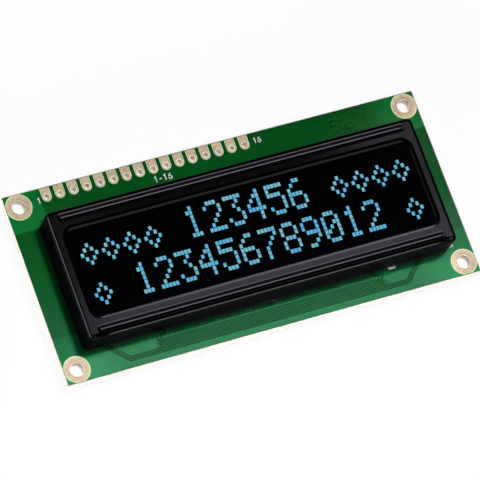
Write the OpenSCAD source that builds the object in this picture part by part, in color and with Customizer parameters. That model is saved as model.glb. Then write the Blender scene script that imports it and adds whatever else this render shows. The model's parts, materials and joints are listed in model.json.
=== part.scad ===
// A character display module: a circuit board that carries a glass display under a stamped sheet bezel.
// The origin is the centre of the four screw holes, on the back face of the board.
// +X runs along the board, +Y towards the header row and +Z out of the display.

/* [Circuit board] */
// Length of the board along X
board_w = 80; // [72:0.5:90]
// Height of the board along Y
board_h = 36; // [32:0.5:44]
// Thickness of the board
board_t = 1.6; // [1:0.1:2.4]
// Distance from the board's edges to the screw holes
hole_edge = 2.5; // [2.2:0.1:3]
// Diameter of the screw holes
hole_d = 2.5; // [2:0.1:3]
// Diameter of the plated land round each screw hole
hole_land_d = 4.9; // [4:0.1:5.6]
// Thickness of the plated lands
land_t = 0.05; // [0.03:0.01:0.1]
// Distance from a land to the edge of the board
land_edge = 0.2; // [0.05:0.05:0.5]

/* [Header row] */
// Number of header holes
pin_count = 16; // [2:1:16]
// Distance between neighbouring header holes
pin_pitch = 2.54; // [2:0.01:2.6]
// Diameter of the header holes
pin_hole_d = 1; // [0.7:0.05:1.2]
// Width of a header pad
pin_pad_w = 1.8; // [1.5:0.05:1.9]
// Distance from the board's left end to the first header hole
pin_first = 8; // [6.5:0.1:10]
// Distance from the board's upper edge to the header holes
pin_edge = 1.9; // [1.4:0.1:2.4]

/* [Bezel] */
// Distance from the board's left end to the bezel
bezel_left = 4.7; // [3.8:0.1:6]
// Distance from the board's right end to the bezel
bezel_right = 4.3; // [3.8:0.1:6]
// Distance from the board's upper edge to the bezel
bezel_upper = 6.45; // [5.5:0.05:8]
// Distance from the board's lower edge to the bezel
bezel_lower = 5.25; // [4:0.05:7]
// Rise of the bezel from its foot to its front face
bezel_rise = 5.7; // [5:0.1:8]
// Thickness of the sheet
sheet_t = 0.5; // [0.35:0.05:0.6]
// Outer radius of the folds between the front and the walls
fold_r = 0.7; // [0.65:0.05:0.9]
// Outer radius of the upright corners
corner_r = 1.0; // [0.8:0.1:2.4]
// Distance from the bezel's ends to the display window
window_end = 2.5; // [2:0.1:6]
// Distance from the bezel's long edges to the display window
window_side = 4.05; // [3.4:0.05:6]
// Corner radius of the display window
window_r = 1.4; // [0.5:0.1:3]
// Width of the bevel round the display window
window_bevel = 0.3; // [0.1:0.05:0.3]
// Width of a pressed groove
groove_w = 1.7; // [1:0.1:1.7]
// Depth of a pressed groove
groove_depth = 0.4; // [0.2:0.05:0.45]
// Distance from the bezel's long edge to the middle of a groove
groove_inset = 1.55; // [1.35:0.05:2]
// Distance from the bezel's end to the end of a groove
groove_end = 1.9; // [1.5:0.1:6]

/* [Bezel tabs] */
// Width of a tab
tab_w = 1.8; // [1.2:0.1:3]
// Number of tabs on each long wall
tab_count = 3; // [2:1:3]
// Distance between neighbouring tabs on a long wall
tab_pitch = 24; // [22:0.5:28]
// Length of the bent-over part of a tab
tab_foot = 1.5; // [0.8:0.1:2]
// Inner radius of the bend in a tab
tab_bend_r = 0.4; // [0.35:0.05:0.6]
// Clearance beside a tab and outside it in its slot
tab_gap = 0.25; // [0.15:0.05:0.35]
// Width of the land round a tab slot
tab_land = 0.7; // [0.4:0.1:1]
// Length of a tinned ground land at the foot of the bezel
ground_w = 1.3; // [0.8:0.1:2]
// Width of a tinned ground land
ground_h = 0.45; // [0.3:0.05:0.8]
// Distance from the bezel's right end to the ground land on its lower wall
ground_end = 11.6; // [8:0.1:14]
// Distance from the bezel's lower edge to the ground land beside its right end
ground_lift = 0.75; // [0.7:0.05:4]

/* [Display] */
// Thickness of the polariser film
polariser_t = 0.2; // [0.1:0.05:0.3]
// Distance from the polariser to the edge of the front glass
polariser_setback = 0.5; // [0.2:0.1:0.8]
// Thickness of each glass plate
glass_t = 0.7; // [0.5:0.1:1.1]
// Clearance between the front glass and the pressed grooves
glass_gap = 0.2; // [0.1:0.05:0.4]
// Clearance between the front glass and the end walls of the bezel
glass_end_gap = 0.5; // [0.35:0.05:0.8]
// Height of the contact ledge along the lower edge of the front glass
ledge_h = 3; // [2.6:0.1:4]
// Distance from the sealing glass to the other edges of the front glass
cap_setback = 0.4; // [0:0.1:1]
// Thickness of the glue frame between the glass plates
seal_t = 0.05; // [0.03:0.01:0.1]
// Width of the glue frame
seal_w = 1.2; // [0.8:0.1:2]
// Depth of the recess in the sealing glass
recess_d = 0.35; // [0.25:0.05:0.4]
// Thickness of the desiccant film
desiccant_t = 0.2; // [0.1:0.05:0.2]
// Distance from the desiccant film to the wall of the recess
desiccant_gap = 0.8; // [0.3:0.1:2]
// Distance from the foam cushion to the edge of the sealing glass
foam_inset = 2.5; // [1:0.1:4]
// Width of the flexible connector along X
flex_w = 56; // [40:1:64]
// Thickness of the flexible connector
flex_t = 0.12; // [0.08:0.02:0.2]
// Clearance between the bend of the connector and the lower wall of the bezel
flex_wall_gap = 0.3; // [0.2:0.05:0.5]
// Clearance between the bonded end of the connector and the sealing glass
flex_end_gap = 0.35; // [0.2:0.05:0.6]

/* [Parts behind the board] */
// Diameter of the epoxy cap over the controller
controller_cap_d = 15; // [10:0.5:17]
// Diameter of the epoxy cap over the driver
driver_cap_d = 13; // [9:0.5:16]
// Height of the epoxy caps
epoxy_rise = 1.6; // [1:0.1:2]
// Distance between the middles of the epoxy caps
epoxy_pitch = 26; // [22:0.5:28]
// Distance of the epoxy caps below the board's centre line
epoxy_drop = 2; // [1:0.1:3.5]
// Distance from the bezel's right end to the supply parts
supply_end = 5.7; // [5:0.1:7]
// Distance between the supply parts and their capacitors
supply_gap = 5.6; // [4.5:0.1:6]
// Distance from the bezel's left end to the capacitors there
capacitor_end = 7.3; // [5:0.1:9]
// Length of a chip resistor or capacitor
chip_l = 2; // [1.6:0.1:2.4]
// Width of a chip resistor or capacitor
chip_w = 1.25; // [0.8:0.05:1.6]
// Length of the tinned end of a chip
chip_end = 0.4; // [0.2:0.05:0.6]
// Thickness of a chip resistor
resistor_t = 0.55; // [0.4:0.05:0.7]
// Thickness of a chip capacitor
capacitor_t = 0.9; // [0.6:0.05:1.2]
// Distance between neighbouring chip resistors
resistor_pitch = 3.2; // [2.4:0.1:3.4]
// Run of a solder joint out from the end of a chip
solder_run = 0.45; // [0.3:0.05:0.6]
// Side of the boost inductor
inductor_w = 4.4; // [3:0.1:5]
// Thickness of the boost inductor
inductor_t = 1.55; // [1:0.05:1.9]
// Length of the boost regulator's body
regulator_l = 2.9; // [2.4:0.1:3.2]
// Width of the boost regulator's body
regulator_w = 1.6; // [1.2:0.1:1.8]
// Thickness of the boost regulator's body
regulator_t = 1.1; // [0.8:0.05:1.3]
// Length of the rectifier diode's body
diode_l = 2.7; // [2.2:0.1:3]
// Width of the rectifier diode's body
diode_w = 1.6; // [1.2:0.1:1.8]
// Thickness of the rectifier diode's body
diode_t = 1; // [0.8:0.05:1.2]
// Thickness of the leads on the regulator and the diode
lead_t = 0.15; // [0.1:0.01:0.2]
// Reach of a lead beyond its body
lead_reach = 0.6; // [0.45:0.05:0.8]

/* [Hidden] */
$fn = 64;

// Reach of a cut beyond the face that it opens
cut = 1;

// Screw-hole pattern, bezel and window, from the board's edges inwards
hole_spacing_x = board_w - 2 * hole_edge;
hole_spacing_y = board_h - 2 * hole_edge;
bezel_w = board_w - bezel_left - bezel_right;
bezel_h = board_h - bezel_upper - bezel_lower;
bezel_x = (bezel_left - bezel_right) / 2;
bezel_y = (bezel_lower - bezel_upper) / 2;
window_w = bezel_w - 2 * window_end;
window_h = bezel_h - 2 * window_side;

// Levels of the stack, from the board up to the bezel's front face
bezel_front = board_t + bezel_rise;
plate_under = bezel_front - sheet_t;
glass_front = plate_under - polariser_t;
glass_rear = glass_front - glass_t;
cap_front = glass_rear - seal_t;
cap_rear = cap_front - glass_t;
recess_floor = cap_front - recess_d;

// A pressed groove has a round floor between two rounded lips, and its back follows the floor one sheet
// further out. Where they meet, floor and lip run into each other by the blend.
groove_blend = 0.005;
groove_bend = (pow(groove_w / 2, 2) + pow(groove_depth, 2)) / (2 * groove_depth);
groove_lip_r = 0.45 * groove_bend;
groove_r = groove_bend - groove_lip_r + groove_blend;
groove_turn_z = -groove_lip_r * groove_depth / groove_bend;
groove_axis_z = bezel_front + groove_r - groove_depth;
groove_back_half = sqrt(pow(groove_r + sheet_t, 2) - pow(groove_axis_z - plate_under, 2));
groove_y = bezel_h / 2 - groove_inset;
groove_run = bezel_w - 2 * groove_end - groove_w;

// How far the round corner of the bezel steps back from its right end, beside the upper edge of the
// ground land there
ground_top = ground_lift + ground_h / 2;
ground_back = ground_top < corner_r ? corner_r - sqrt(pow(corner_r, 2) - pow(corner_r - ground_top, 2)) : 0;

// Outline of the front glass and of the sealing glass behind it
glass_w = bezel_w - 2 * (sheet_t + glass_end_gap);
glass_h = 2 * (groove_y - groove_back_half - glass_gap);
glass_low = bezel_y - glass_h / 2;
cap_w = glass_w - 2 * cap_setback;
cap_h = glass_h - ledge_h - cap_setback;
cap_y = glass_low + ledge_h + cap_h / 2;

// Bend of the flexible connector, from the contact ledge round to the board
flex_outer_r = (glass_rear - board_t) / 2;
flex_inner_r = flex_outer_r - flex_t;
flex_axis_y = bezel_y - bezel_h / 2 + sheet_t + flex_wall_gap + flex_outer_r;
flex_axis_z = board_t + flex_outer_r;
flex_run = glass_low + ledge_h - flex_end_gap - flex_axis_y;

// Places of the header holes and of the screw holes
pin_y = board_h / 2 - pin_edge;
pin_places = [for (i = [0 : pin_count - 1]) [pin_first - board_w / 2 + i * pin_pitch, pin_y]];
hole_places = [for (x = [-1, 1], y = [-1, 1]) [x * hole_spacing_x / 2, y * hole_spacing_y / 2]];

// Each tab is [turn of its wall, offset along the wall, distance of the wall's outer face]
tab_row = [for (i = [0 : tab_count - 1]) (i - (tab_count - 1) / 2) * tab_pitch];
tabs = concat(
    [for (turn = [90, 270], along = tab_row) [turn, along, bezel_h / 2]],
    [for (turn = [0, 180]) [turn, 0, bezel_w / 2]]
);
slot_along = tab_w + 2 * tab_gap;
slot_across = tab_gap + sheet_t + tab_bend_r;
tab_ring = 0.2;

// Clearance between a ground land and the bezel's wall
ground_gap = 0.05;

// Places of the parts behind the board: the supply by the bezel's right end, with its capacitors beside it
resistor_count = 6;
resistor_x = -20;
resistor_y = 8.2;
supply_x = bezel_x + bezel_w / 2 - supply_end;
inductor_place = [supply_x, 4.5];
regulator_place = [supply_x, -1.8];
diode_place = [supply_x, -6.4];
supply_capacitors = [for (y = [4.5, -1.5]) [supply_x - supply_gap, y]];
row_capacitors = [for (x = [4.5, 8.5]) [x, resistor_y]];
end_capacitors = [for (y = [3, -3]) [bezel_x - bezel_w / 2 + capacitor_end, y]];
capacitor_places = concat(supply_capacitors, row_capacitors, end_capacitors);
regulator_lead_w = 0.4;
regulator_lead_pitch = 0.95;
diode_lead_w = 0.6;
inductor_corner_r = 0.6;
drum_gap = 0.25;
drum_rim = 0.35;
drum_depth = 0.4;
end_wrap = 0.03;
land_margin = 0.15;
draft = 0.12;

// Colours of the materials
mask_green = [0.02, 0.36, 0.15];
plated_land = [0.86, 0.76, 0.62];
tin = [0.78, 0.78, 0.77];
black_paint = [0.07, 0.07, 0.08];
black_film = [0.02, 0.02, 0.03];
clear_glass = [0.70, 0.78, 0.80];
glue = [0.75, 0.72, 0.60];
film_white = [0.88, 0.87, 0.84];
foam_grey = [0.20, 0.20, 0.21];
film_amber = [0.76, 0.48, 0.14];
epoxy_black = [0.05, 0.05, 0.06];
ferrite = [0.24, 0.24, 0.26];
moulding_black = [0.09, 0.09, 0.10];
capacitor_tan = [0.62, 0.47, 0.33];
resistor_dark = [0.10, 0.10, 0.12];

// Flat rectangle with round corners, centred on the origin
module round_rect(w, h, r) {
    square([w, h - 2 * r], center = true);
    square([w - 2 * r, h], center = true);
    for (x = [-1, 1], y = [-1, 1])
        translate([x * (w / 2 - r), y * (h / 2 - r)]) circle(r);
}

// Flat section of a folded tray: straight walls and a round fold at each top corner
module tray_section(w, rise, r) {
    translate([-w / 2, 0]) square([w, rise - r]);
    translate([r - w / 2, 0]) square([w - 2 * r, rise]);
    for (x = [-1, 1])
        translate([x * (w / 2 - r), rise - r]) circle(r);
}

// Upright corner post of a folded tray, with the fold turned round its top
module corner_post(rise, fold, corner) {
    rotate_extrude() intersection() {
        square([corner, rise]);
        union() {
            square([corner, rise - fold]);
            translate([-fold, 0]) square([corner, rise]);
            translate([corner - fold, rise - fold]) circle(fold);
        }
    }
}

// Block with the outer form of a folded tray that stands on the plane z = 0
module tray_block(w, h, rise, fold, corner) {
    rotate([90, 0, 0]) linear_extrude(h - 2 * corner, center = true) tray_section(w, rise, fold);
    rotate([90, 0, 90]) linear_extrude(w - 2 * corner, center = true) tray_section(h, rise, fold);
    for (x = [-1, 1], y = [-1, 1])
        translate([x * (w / 2 - corner), y * (h / 2 - corner), 0]) corner_post(rise, fold, corner);
}

// Rod along X with ball ends
module capsule(length, r) {
    rotate([0, 90, 0]) cylinder(h = length, r = r, center = true);
    for (x = [-1, 1])
        translate([x * length / 2, 0, 0]) sphere(r);
}

// The two groove lines of the bezel, as capsules of one radius
module groove_rods(r) {
    for (y = [-1, 1])
        translate([bezel_x, bezel_y + y * groove_y, groove_axis_z]) capsule(groove_run, r);
}

// Section of a pressed groove below the front face, which lies along the section's X axis
module groove_section() {
    translate([0, groove_r - groove_depth]) circle(groove_r);
    difference() {
        translate([-groove_w / 2, groove_turn_z]) square([groove_w, cut - groove_turn_z]);
        for (x = [-1, 1])
            translate([x * groove_w / 2, groove_blend - groove_lip_r]) circle(groove_lip_r);
    }
}

// What the two pressed grooves take from the front of the sheet, with round ends
module groove_cuts() {
    for (y = [-1, 1])
        translate([bezel_x, bezel_y + y * groove_y, bezel_front]) {
            rotate([90, 0, 90]) linear_extrude(groove_run, center = true) groove_section();
            for (x = [-1, 1])
                translate([x * groove_run / 2, 0, 0]) rotate_extrude()
                    intersection() {
                        groove_section();
                        translate([0, -cut]) square([groove_w, 3 * cut]);
                    }
        }
}

// Sloping walls of the window's bevel: a straight prism each way and a cone in each corner
module bevel_cut(w, h, r, bevel) {
    rise = bevel + cut;
    slope = [[-h / 2, 0], [h / 2, 0], [h / 2 + rise, rise], [-h / 2 - rise, rise]];
    rotate([90, 0, 90]) linear_extrude(w - 2 * r, center = true) polygon(slope);
    slope_x = [[-w / 2, 0], [w / 2, 0], [w / 2 + rise, rise], [-w / 2 - rise, rise]];
    rotate([90, 0, 0]) linear_extrude(h - 2 * r, center = true) polygon(slope_x);
    for (x = [-1, 1], y = [-1, 1])
        translate([x * (w / 2 - r), y * (h / 2 - r), 0]) cylinder(h = rise, r1 = r, r2 = r + rise);
}

// Puts a child at a tab: X then points out of the wall, with 0 at the wall's outer face
module at_tab(tab) {
    translate([bezel_x, bezel_y, 0]) rotate([0, 0, tab[0]]) translate([tab[2], tab[1], 0]) children();
}

// Flat outline of a tab slot, which leaves room for the tab's bend, with an even margin round it
module slot_outline(margin) {
    translate([tab_gap - slot_across / 2, 0])
        square([slot_across + 2 * margin, slot_along + 2 * margin], center = true);
}

// One tab: down through the board, round a bend and in under the board's back
module tab_strip() {
    bend_z = tab_bend_r - land_t;
    bend_x = -sheet_t - tab_bend_r;
    rotate([90, 0, 0]) linear_extrude(tab_w, center = true) {
        translate([-sheet_t, bend_z]) square([sheet_t, board_t + sheet_t - bend_z]);
        intersection() {
            translate([bend_x, bend_z]) difference() {
                circle(tab_bend_r + sheet_t);
                circle(tab_bend_r);
            }
            translate([bend_x, bend_z - tab_bend_r - sheet_t]) square(tab_bend_r + sheet_t);
        }
        translate([bend_x - tab_foot, bend_z - tab_bend_r - sheet_t]) square([tab_foot, sheet_t]);
    }
}

module circuit_board() {
    color(mask_green) difference() {
        translate([-board_w / 2, -board_h / 2, 0]) cube([board_w, board_h, board_t]);
        for (p = hole_places)
            translate([p[0], p[1], -cut]) cylinder(h = board_t + 2 * cut, d = hole_d);
        for (p = pin_places)
            translate([p[0], p[1], -cut]) cylinder(h = board_t + 2 * cut, d = pin_hole_d);
        for (tab = tabs)
            at_tab(tab) translate([0, 0, -cut]) linear_extrude(board_t + 2 * cut) slot_outline(0);
    }
}

// Lays a child's foil on both faces of the board
module on_both_faces() {
    for (z = [-land_t, board_t])
        translate([0, 0, z]) linear_extrude(land_t) children();
}

module mounting_lands() {
    color(plated_land) on_both_faces() intersection() {
        square([board_w - 2 * land_edge, board_h - 2 * land_edge], center = true);
        for (p = hole_places)
            translate(p) difference() {
                circle(d = hole_land_d);
                circle(d = hole_d);
            }
    }
}

module header_lands() {
    pad_reach = pin_edge - land_edge;
    color(plated_land) on_both_faces()
        for (p = pin_places)
            translate(p) difference() {
                union() {
                    circle(d = pin_pad_w);
                    translate([-pin_pad_w / 2, 0]) square([pin_pad_w, pad_reach]);
                }
                circle(d = pin_hole_d);
            }
}

module tab_lands() {
    color(tin)
        for (tab = tabs)
            at_tab(tab) translate([0, 0, -land_t]) linear_extrude(land_t) difference() {
                slot_outline(tab_ring + tab_land);
                slot_outline(tab_ring);
            }
}

module ground_lands() {
    color(tin) translate([bezel_x + bezel_w / 2, bezel_y - bezel_h / 2, board_t]) linear_extrude(land_t) {
        translate([-ground_end - ground_w / 2, -ground_gap - ground_h]) square([ground_w, ground_h]);
        translate([ground_gap - ground_back, ground_lift - ground_h / 2])
            square([ground_w * 2 / 3, ground_h]);
    }
}

module bezel_sheet() {
    difference() {
        tray_block(bezel_w, bezel_h, bezel_rise, fold_r, corner_r);
        translate([0, 0, -cut])
            tray_block(
                bezel_w - 2 * sheet_t, bezel_h - 2 * sheet_t, bezel_rise - sheet_t + cut,
                fold_r - sheet_t, corner_r - sheet_t
            );
    }
}

module bezel() {
    color(black_paint) {
        difference() {
            union() {
                translate([bezel_x, bezel_y, board_t]) bezel_sheet();
                intersection() {
                    groove_rods(groove_r + sheet_t);
                    translate([bezel_x, bezel_y, plate_under + sheet_t / 2 - glass_t])
                        linear_extrude(glass_t) square([bezel_w, bezel_h - 2 * sheet_t], center = true);
                }
            }
            groove_cuts();
            translate([bezel_x, bezel_y, plate_under - cut])
                linear_extrude(sheet_t + 2 * cut) round_rect(window_w, window_h, window_r);
            translate([bezel_x, bezel_y, bezel_front - window_bevel])
                bevel_cut(window_w, window_h, window_r, window_bevel);
        }
        for (tab = tabs)
            at_tab(tab) tab_strip();
    }
}

module polariser() {
    color(black_film) translate([bezel_x, bezel_y, glass_front]) linear_extrude(polariser_t)
        square([glass_w - 2 * polariser_setback, glass_h - 2 * polariser_setback], center = true);
}

module front_glass() {
    color(clear_glass) translate([bezel_x, bezel_y, glass_rear]) linear_extrude(glass_t)
        square([glass_w, glass_h], center = true);
}

// Flat outline of the sealing glass, drawn in by a margin
module cap_outline(margin) {
    translate([bezel_x, cap_y]) square([cap_w - 2 * margin, cap_h - 2 * margin], center = true);
}

module edge_seal() {
    color(glue) translate([0, 0, cap_front]) linear_extrude(seal_t) difference() {
        cap_outline(0);
        cap_outline(seal_w);
    }
}

module sealing_glass() {
    color(clear_glass) difference() {
        translate([0, 0, cap_rear]) linear_extrude(glass_t) cap_outline(0);
        translate([0, 0, recess_floor]) linear_extrude(recess_d + cut) cap_outline(seal_w);
    }
}

module desiccant_film() {
    color(film_white) translate([0, 0, recess_floor]) linear_extrude(desiccant_t)
        cap_outline(seal_w + desiccant_gap);
}

module foam_cushion() {
    color(foam_grey) translate([0, 0, board_t]) linear_extrude(cap_rear - board_t) cap_outline(foam_inset);
}

module flex_connector() {
    color(film_amber) translate([bezel_x, 0, 0]) rotate([90, 0, 90]) linear_extrude(flex_w, center = true)
        translate([flex_axis_y, flex_axis_z]) {
            difference() {
                circle(flex_outer_r);
                circle(flex_inner_r);
                translate([0, -flex_outer_r - cut]) square(2 * (flex_outer_r + cut));
            }
            for (z = [flex_inner_r, -flex_outer_r])
                translate([0, z]) square([flex_run, flex_t]);
        }
}

// Domed epoxy cap on the board's back, turned from the arc of its dome
module epoxy_cap(d) {
    dome_r = (pow(d / 2, 2) + pow(epoxy_rise, 2)) / (2 * epoxy_rise);
    rotate_extrude($fn = 180) intersection() {
        translate([0, dome_r - epoxy_rise]) circle(dome_r, $fn = 360);
        translate([0, -epoxy_rise - cut]) square([d, epoxy_rise + cut]);
    }
}

module controller_cap() {
    color(epoxy_black) translate([-epoxy_pitch / 2, -epoxy_drop, 0]) epoxy_cap(controller_cap_d);
}

module driver_cap() {
    color(epoxy_black) translate([epoxy_pitch / 2, -epoxy_drop, 0]) epoxy_cap(driver_cap_d);
}

// Chip with tinned ends, lying along Y under its lands
module chip(thick) {
    translate([0, 0, -land_t - end_wrap - thick]) {
        translate([-chip_w / 2, -chip_l / 2, 0]) cube([chip_w, chip_l, thick]);
        for (y = [-chip_l / 2, chip_l / 2 - chip_end])
            translate([-chip_w / 2 - end_wrap, y, -end_wrap])
                cube([chip_w + 2 * end_wrap, chip_end, thick + 2 * end_wrap]);
    }
}

function resistor_place(i) = [resistor_x + (i - 1) * resistor_pitch, resistor_y];

module resistor(i) {
    color(resistor_dark) translate(resistor_place(i)) chip(resistor_t);
}

module capacitor(i) {
    color(capacitor_tan) translate(capacitor_places[i - 1]) chip(capacitor_t);
}

// Land and sloping solder joint at each end of a chip
module chip_joints(thick) {
    pad_w = chip_w + 2 * land_margin;
    joint_rise = 0.6 * thick;
    for (turn = [0, 180])
        rotate([0, 0, turn]) {
            translate([-pad_w / 2, chip_l / 2 - chip_end, -land_t])
                cube([pad_w, chip_end + solder_run + land_margin, land_t]);
            translate([0, chip_l / 2, -land_t]) rotate([90, 0, 90]) linear_extrude(chip_w, center = true)
                polygon([[0, 0], [solder_run, 0], [solder_run / 3, -joint_rise / 2], [0, -joint_rise]]);
        }
}

// Land under the foot of a lead, at a distance from its part's middle
module lead_land(distance, w) {
    translate([-w / 2 - land_margin, distance, -land_t])
        cube([w + 2 * land_margin, lead_reach + land_margin, land_t]);
}

// Places of the regulator's leads: [offset along its body, turn]
regulator_leads = [for (i = [-1, 0, 1]) [i, 0], [-1, 180], [1, 180]];

module chip_lands() {
    color(tin) {
        for (i = [1 : resistor_count])
            translate(resistor_place(i)) chip_joints(resistor_t);
        for (place = capacitor_places)
            translate(place) chip_joints(capacitor_t);
        for (lead = regulator_leads)
            translate(regulator_place) rotate([0, 0, lead[1]])
                translate([lead[0] * regulator_lead_pitch, 0, 0])
                    lead_land(regulator_w / 2, regulator_lead_w);
        for (turn = [90, 270])
            translate(diode_place) rotate([0, 0, turn]) lead_land(diode_l / 2, diode_lead_w);
        for (y = [-1, 1])
            translate([inductor_place[0], inductor_place[1] + y * inductor_w / 2, -land_t / 2])
                cube([inductor_w / 2, inductor_w / 3, land_t], center = true);
    }
}

module boost_inductor() {
    drum_r = inductor_w / 2 - drum_rim;
    color(ferrite) translate([inductor_place[0], inductor_place[1], -land_t - inductor_t]) difference() {
        linear_extrude(inductor_t) round_rect(inductor_w, inductor_w, inductor_corner_r);
        translate([0, 0, -cut]) linear_extrude(drum_depth + cut) difference() {
            circle(drum_r);
            circle(drum_r - drum_gap);
        }
    }
}

// Bent lead: out of the body at half its height, down to the land and out along it
module gull_lead(distance, w, thick) {
    mid = -land_t - thick / 2;
    knee = lead_reach / 2;
    translate([0, distance, 0]) rotate([90, 0, 90]) linear_extrude(w, center = true) {
        translate([-draft, mid - lead_t / 2]) square([knee + draft, lead_t]);
        translate([knee - lead_t, mid - lead_t / 2]) square([lead_t, -land_t - mid + lead_t / 2]);
        translate([knee - lead_t, -land_t - lead_t]) square([lead_reach - knee + lead_t, lead_t]);
    }
}

// Moulded body along X, with sides that draw in above and below its middle
module moulded_body(l, w, thick) {
    lift = lead_t / 2;
    half = (thick - lift) / 2;
    section = [
        [-w / 2 + draft, -half], [w / 2 - draft, -half], [w / 2, 0], [w / 2 - draft, half],
        [-w / 2 + draft, half], [-w / 2, 0]
    ];
    translate([0, 0, -land_t - lift - half])
        rotate([90, 0, 90]) linear_extrude(l, center = true) polygon(section);
}

module boost_regulator() {
    color(moulding_black) translate(regulator_place) {
        moulded_body(regulator_l, regulator_w, regulator_t);
        for (lead = regulator_leads)
            rotate([0, 0, lead[1]]) translate([lead[0] * regulator_lead_pitch, 0, 0])
                gull_lead(regulator_w / 2, regulator_lead_w, regulator_t);
    }
}

module rectifier_diode() {
    color(moulding_black) translate(diode_place) {
        rotate([0, 0, 90]) moulded_body(diode_w, diode_l, diode_t);
        for (turn = [90, 270])
            rotate([0, 0, turn]) gull_lead(diode_l / 2, diode_lead_w, diode_t);
    }
}

circuit_board();
mounting_lands();
header_lands();
tab_lands();
ground_lands();
bezel();
polariser();
front_glass();
edge_seal();
sealing_glass();
desiccant_film();
foam_cushion();
flex_connector();
controller_cap();
driver_cap();
boost_inductor();
boost_regulator();
rectifier_diode();
chip_lands();
for (i = [1 : len(capacitor_places)])
    capacitor(i);
for (i = [1 : resistor_count])
    resistor(i);
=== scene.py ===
"""Looks of a character display module: finishes for its packed parts, its copper, print and lit dots."""

import json
import math
from functools import cached_property
from types import SimpleNamespace

import bpy
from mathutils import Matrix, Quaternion, Vector
from mathutils.geometry import tessellate_polygon


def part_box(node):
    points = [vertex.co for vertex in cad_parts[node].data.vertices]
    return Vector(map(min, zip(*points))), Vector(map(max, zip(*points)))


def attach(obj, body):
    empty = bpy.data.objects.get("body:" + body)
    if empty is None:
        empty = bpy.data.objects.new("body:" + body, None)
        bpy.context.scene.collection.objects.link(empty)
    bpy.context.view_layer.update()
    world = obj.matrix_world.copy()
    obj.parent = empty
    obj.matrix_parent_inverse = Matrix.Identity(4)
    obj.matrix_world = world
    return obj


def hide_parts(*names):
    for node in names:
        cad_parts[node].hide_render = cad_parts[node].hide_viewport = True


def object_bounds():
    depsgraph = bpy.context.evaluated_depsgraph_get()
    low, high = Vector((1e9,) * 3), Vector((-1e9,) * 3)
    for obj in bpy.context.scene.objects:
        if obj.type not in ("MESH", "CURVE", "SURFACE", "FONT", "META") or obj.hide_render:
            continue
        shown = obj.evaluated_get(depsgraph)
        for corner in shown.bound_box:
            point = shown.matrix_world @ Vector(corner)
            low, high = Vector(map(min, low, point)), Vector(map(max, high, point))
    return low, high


bl_info = {
    "name": "Character display module",
    "version": (1, 0, 0),
    "blender": (4, 5, 0),
    "location": "View3D > Sidebar > Display",
    "description": "Dresses a packed character display module and sets up its studio",
    "category": "Object",
}

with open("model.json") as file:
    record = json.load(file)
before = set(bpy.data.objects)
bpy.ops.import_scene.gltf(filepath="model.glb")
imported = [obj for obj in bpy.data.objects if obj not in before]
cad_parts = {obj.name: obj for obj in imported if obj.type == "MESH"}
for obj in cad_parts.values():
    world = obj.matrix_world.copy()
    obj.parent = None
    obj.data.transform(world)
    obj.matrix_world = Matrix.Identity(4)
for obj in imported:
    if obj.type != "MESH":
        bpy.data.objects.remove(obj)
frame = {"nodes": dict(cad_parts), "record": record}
CAD_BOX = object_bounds()
BODY = "root"

# Lengths in this file are in millimetres, apart from those of the stage, which are in metres
MM = 0.001


def box_mm(node):
    """Lowest and highest corner of a packed node, in millimetres."""
    low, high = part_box(node)
    return low / MM, high / MM


def islands_mm(node):
    """Lowest and highest corner of each separate piece of a packed node, in millimetres."""
    mesh = frame["nodes"][node].data
    spots = [tuple(round(c / MM, 4) for c in vertex.co) for vertex in mesh.vertices]
    joined = {spot: spot for spot in spots}

    def root(spot):
        while joined[spot] != spot:
            spot = joined[spot]
        return spot

    for edge in mesh.edges:
        a, b = (root(spots[i]) for i in edge.vertices)
        joined[a] = b
    pieces = {}
    for spot in joined:
        pieces.setdefault(root(spot), []).append(spot)
    return [
        tuple(Vector([pick(spot[axis] for spot in piece) for axis in range(3)]) for pick in (min, max))
        for piece in pieces.values()
    ]


def mount(name):
    """One mount of the packed record."""
    return next(m for m in frame["record"]["mounts"] if m["name"] == name)


# Sizes that the packed parts settle
BOARD_LOW, BOARD_HIGH = box_mm("circuit_board")
BOARD_HALF = (BOARD_HIGH - BOARD_LOW) / 2
BOARD_MIDDLE_Z = (BOARD_LOW.z + BOARD_HIGH.z) / 2
BEZEL_LOW, BEZEL_HIGH = box_mm("bezel")
FILM_LOW, FILM_HIGH = box_mm("polariser")
LAND_TOP = box_mm("mounting_lands")[1].z
SCREW_DIMS = mount("screw_holes")["dims"]
SCREW_R = SCREW_DIMS["hole_r_mm"]
SCREW_X = SCREW_DIMS["spacing_x_mm"] / 2
SCREW_Y = SCREW_DIMS["spacing_y_mm"] / 2
SCREW_PLACES = [(sx * SCREW_X, sy * SCREW_Y) for sx in (-1, 1) for sy in (-1, 1)]
LAND_R = max(
    min(math.hypot(v.co.x / MM - x, v.co.y / MM - y) for x, y in SCREW_PLACES)
    for v in frame["nodes"]["mounting_lands"].data.vertices
)
PIN_COUNT = sum(m["name"].startswith("pin_") for m in frame["record"]["mounts"])
PIN_FIRST = Vector(mount("pin_1")["pos_m"]) / MM
PIN_LAST = Vector(mount(f"pin_{PIN_COUNT}")["pos_m"]) / MM
PIN_PITCH = (PIN_LAST.x - PIN_FIRST.x) / (PIN_COUNT - 1)
PIN_R = mount("pin_1")["dims"]["r_mm"]
PIN_PLACES = [(PIN_FIRST.x + i * PIN_PITCH, PIN_FIRST.y) for i in range(PIN_COUNT)]


# Shader maths


def maths(operation, flipped=False):
    """A method that adds one Math node. Flipped, its own value comes second."""

    def method(self, other=0.0):
        first, second = (other, self) if flipped else (self, other)
        return self.finish.add("ShaderNodeMath", {"operation": operation}, {0: first, 1: second})

    return method


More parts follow.
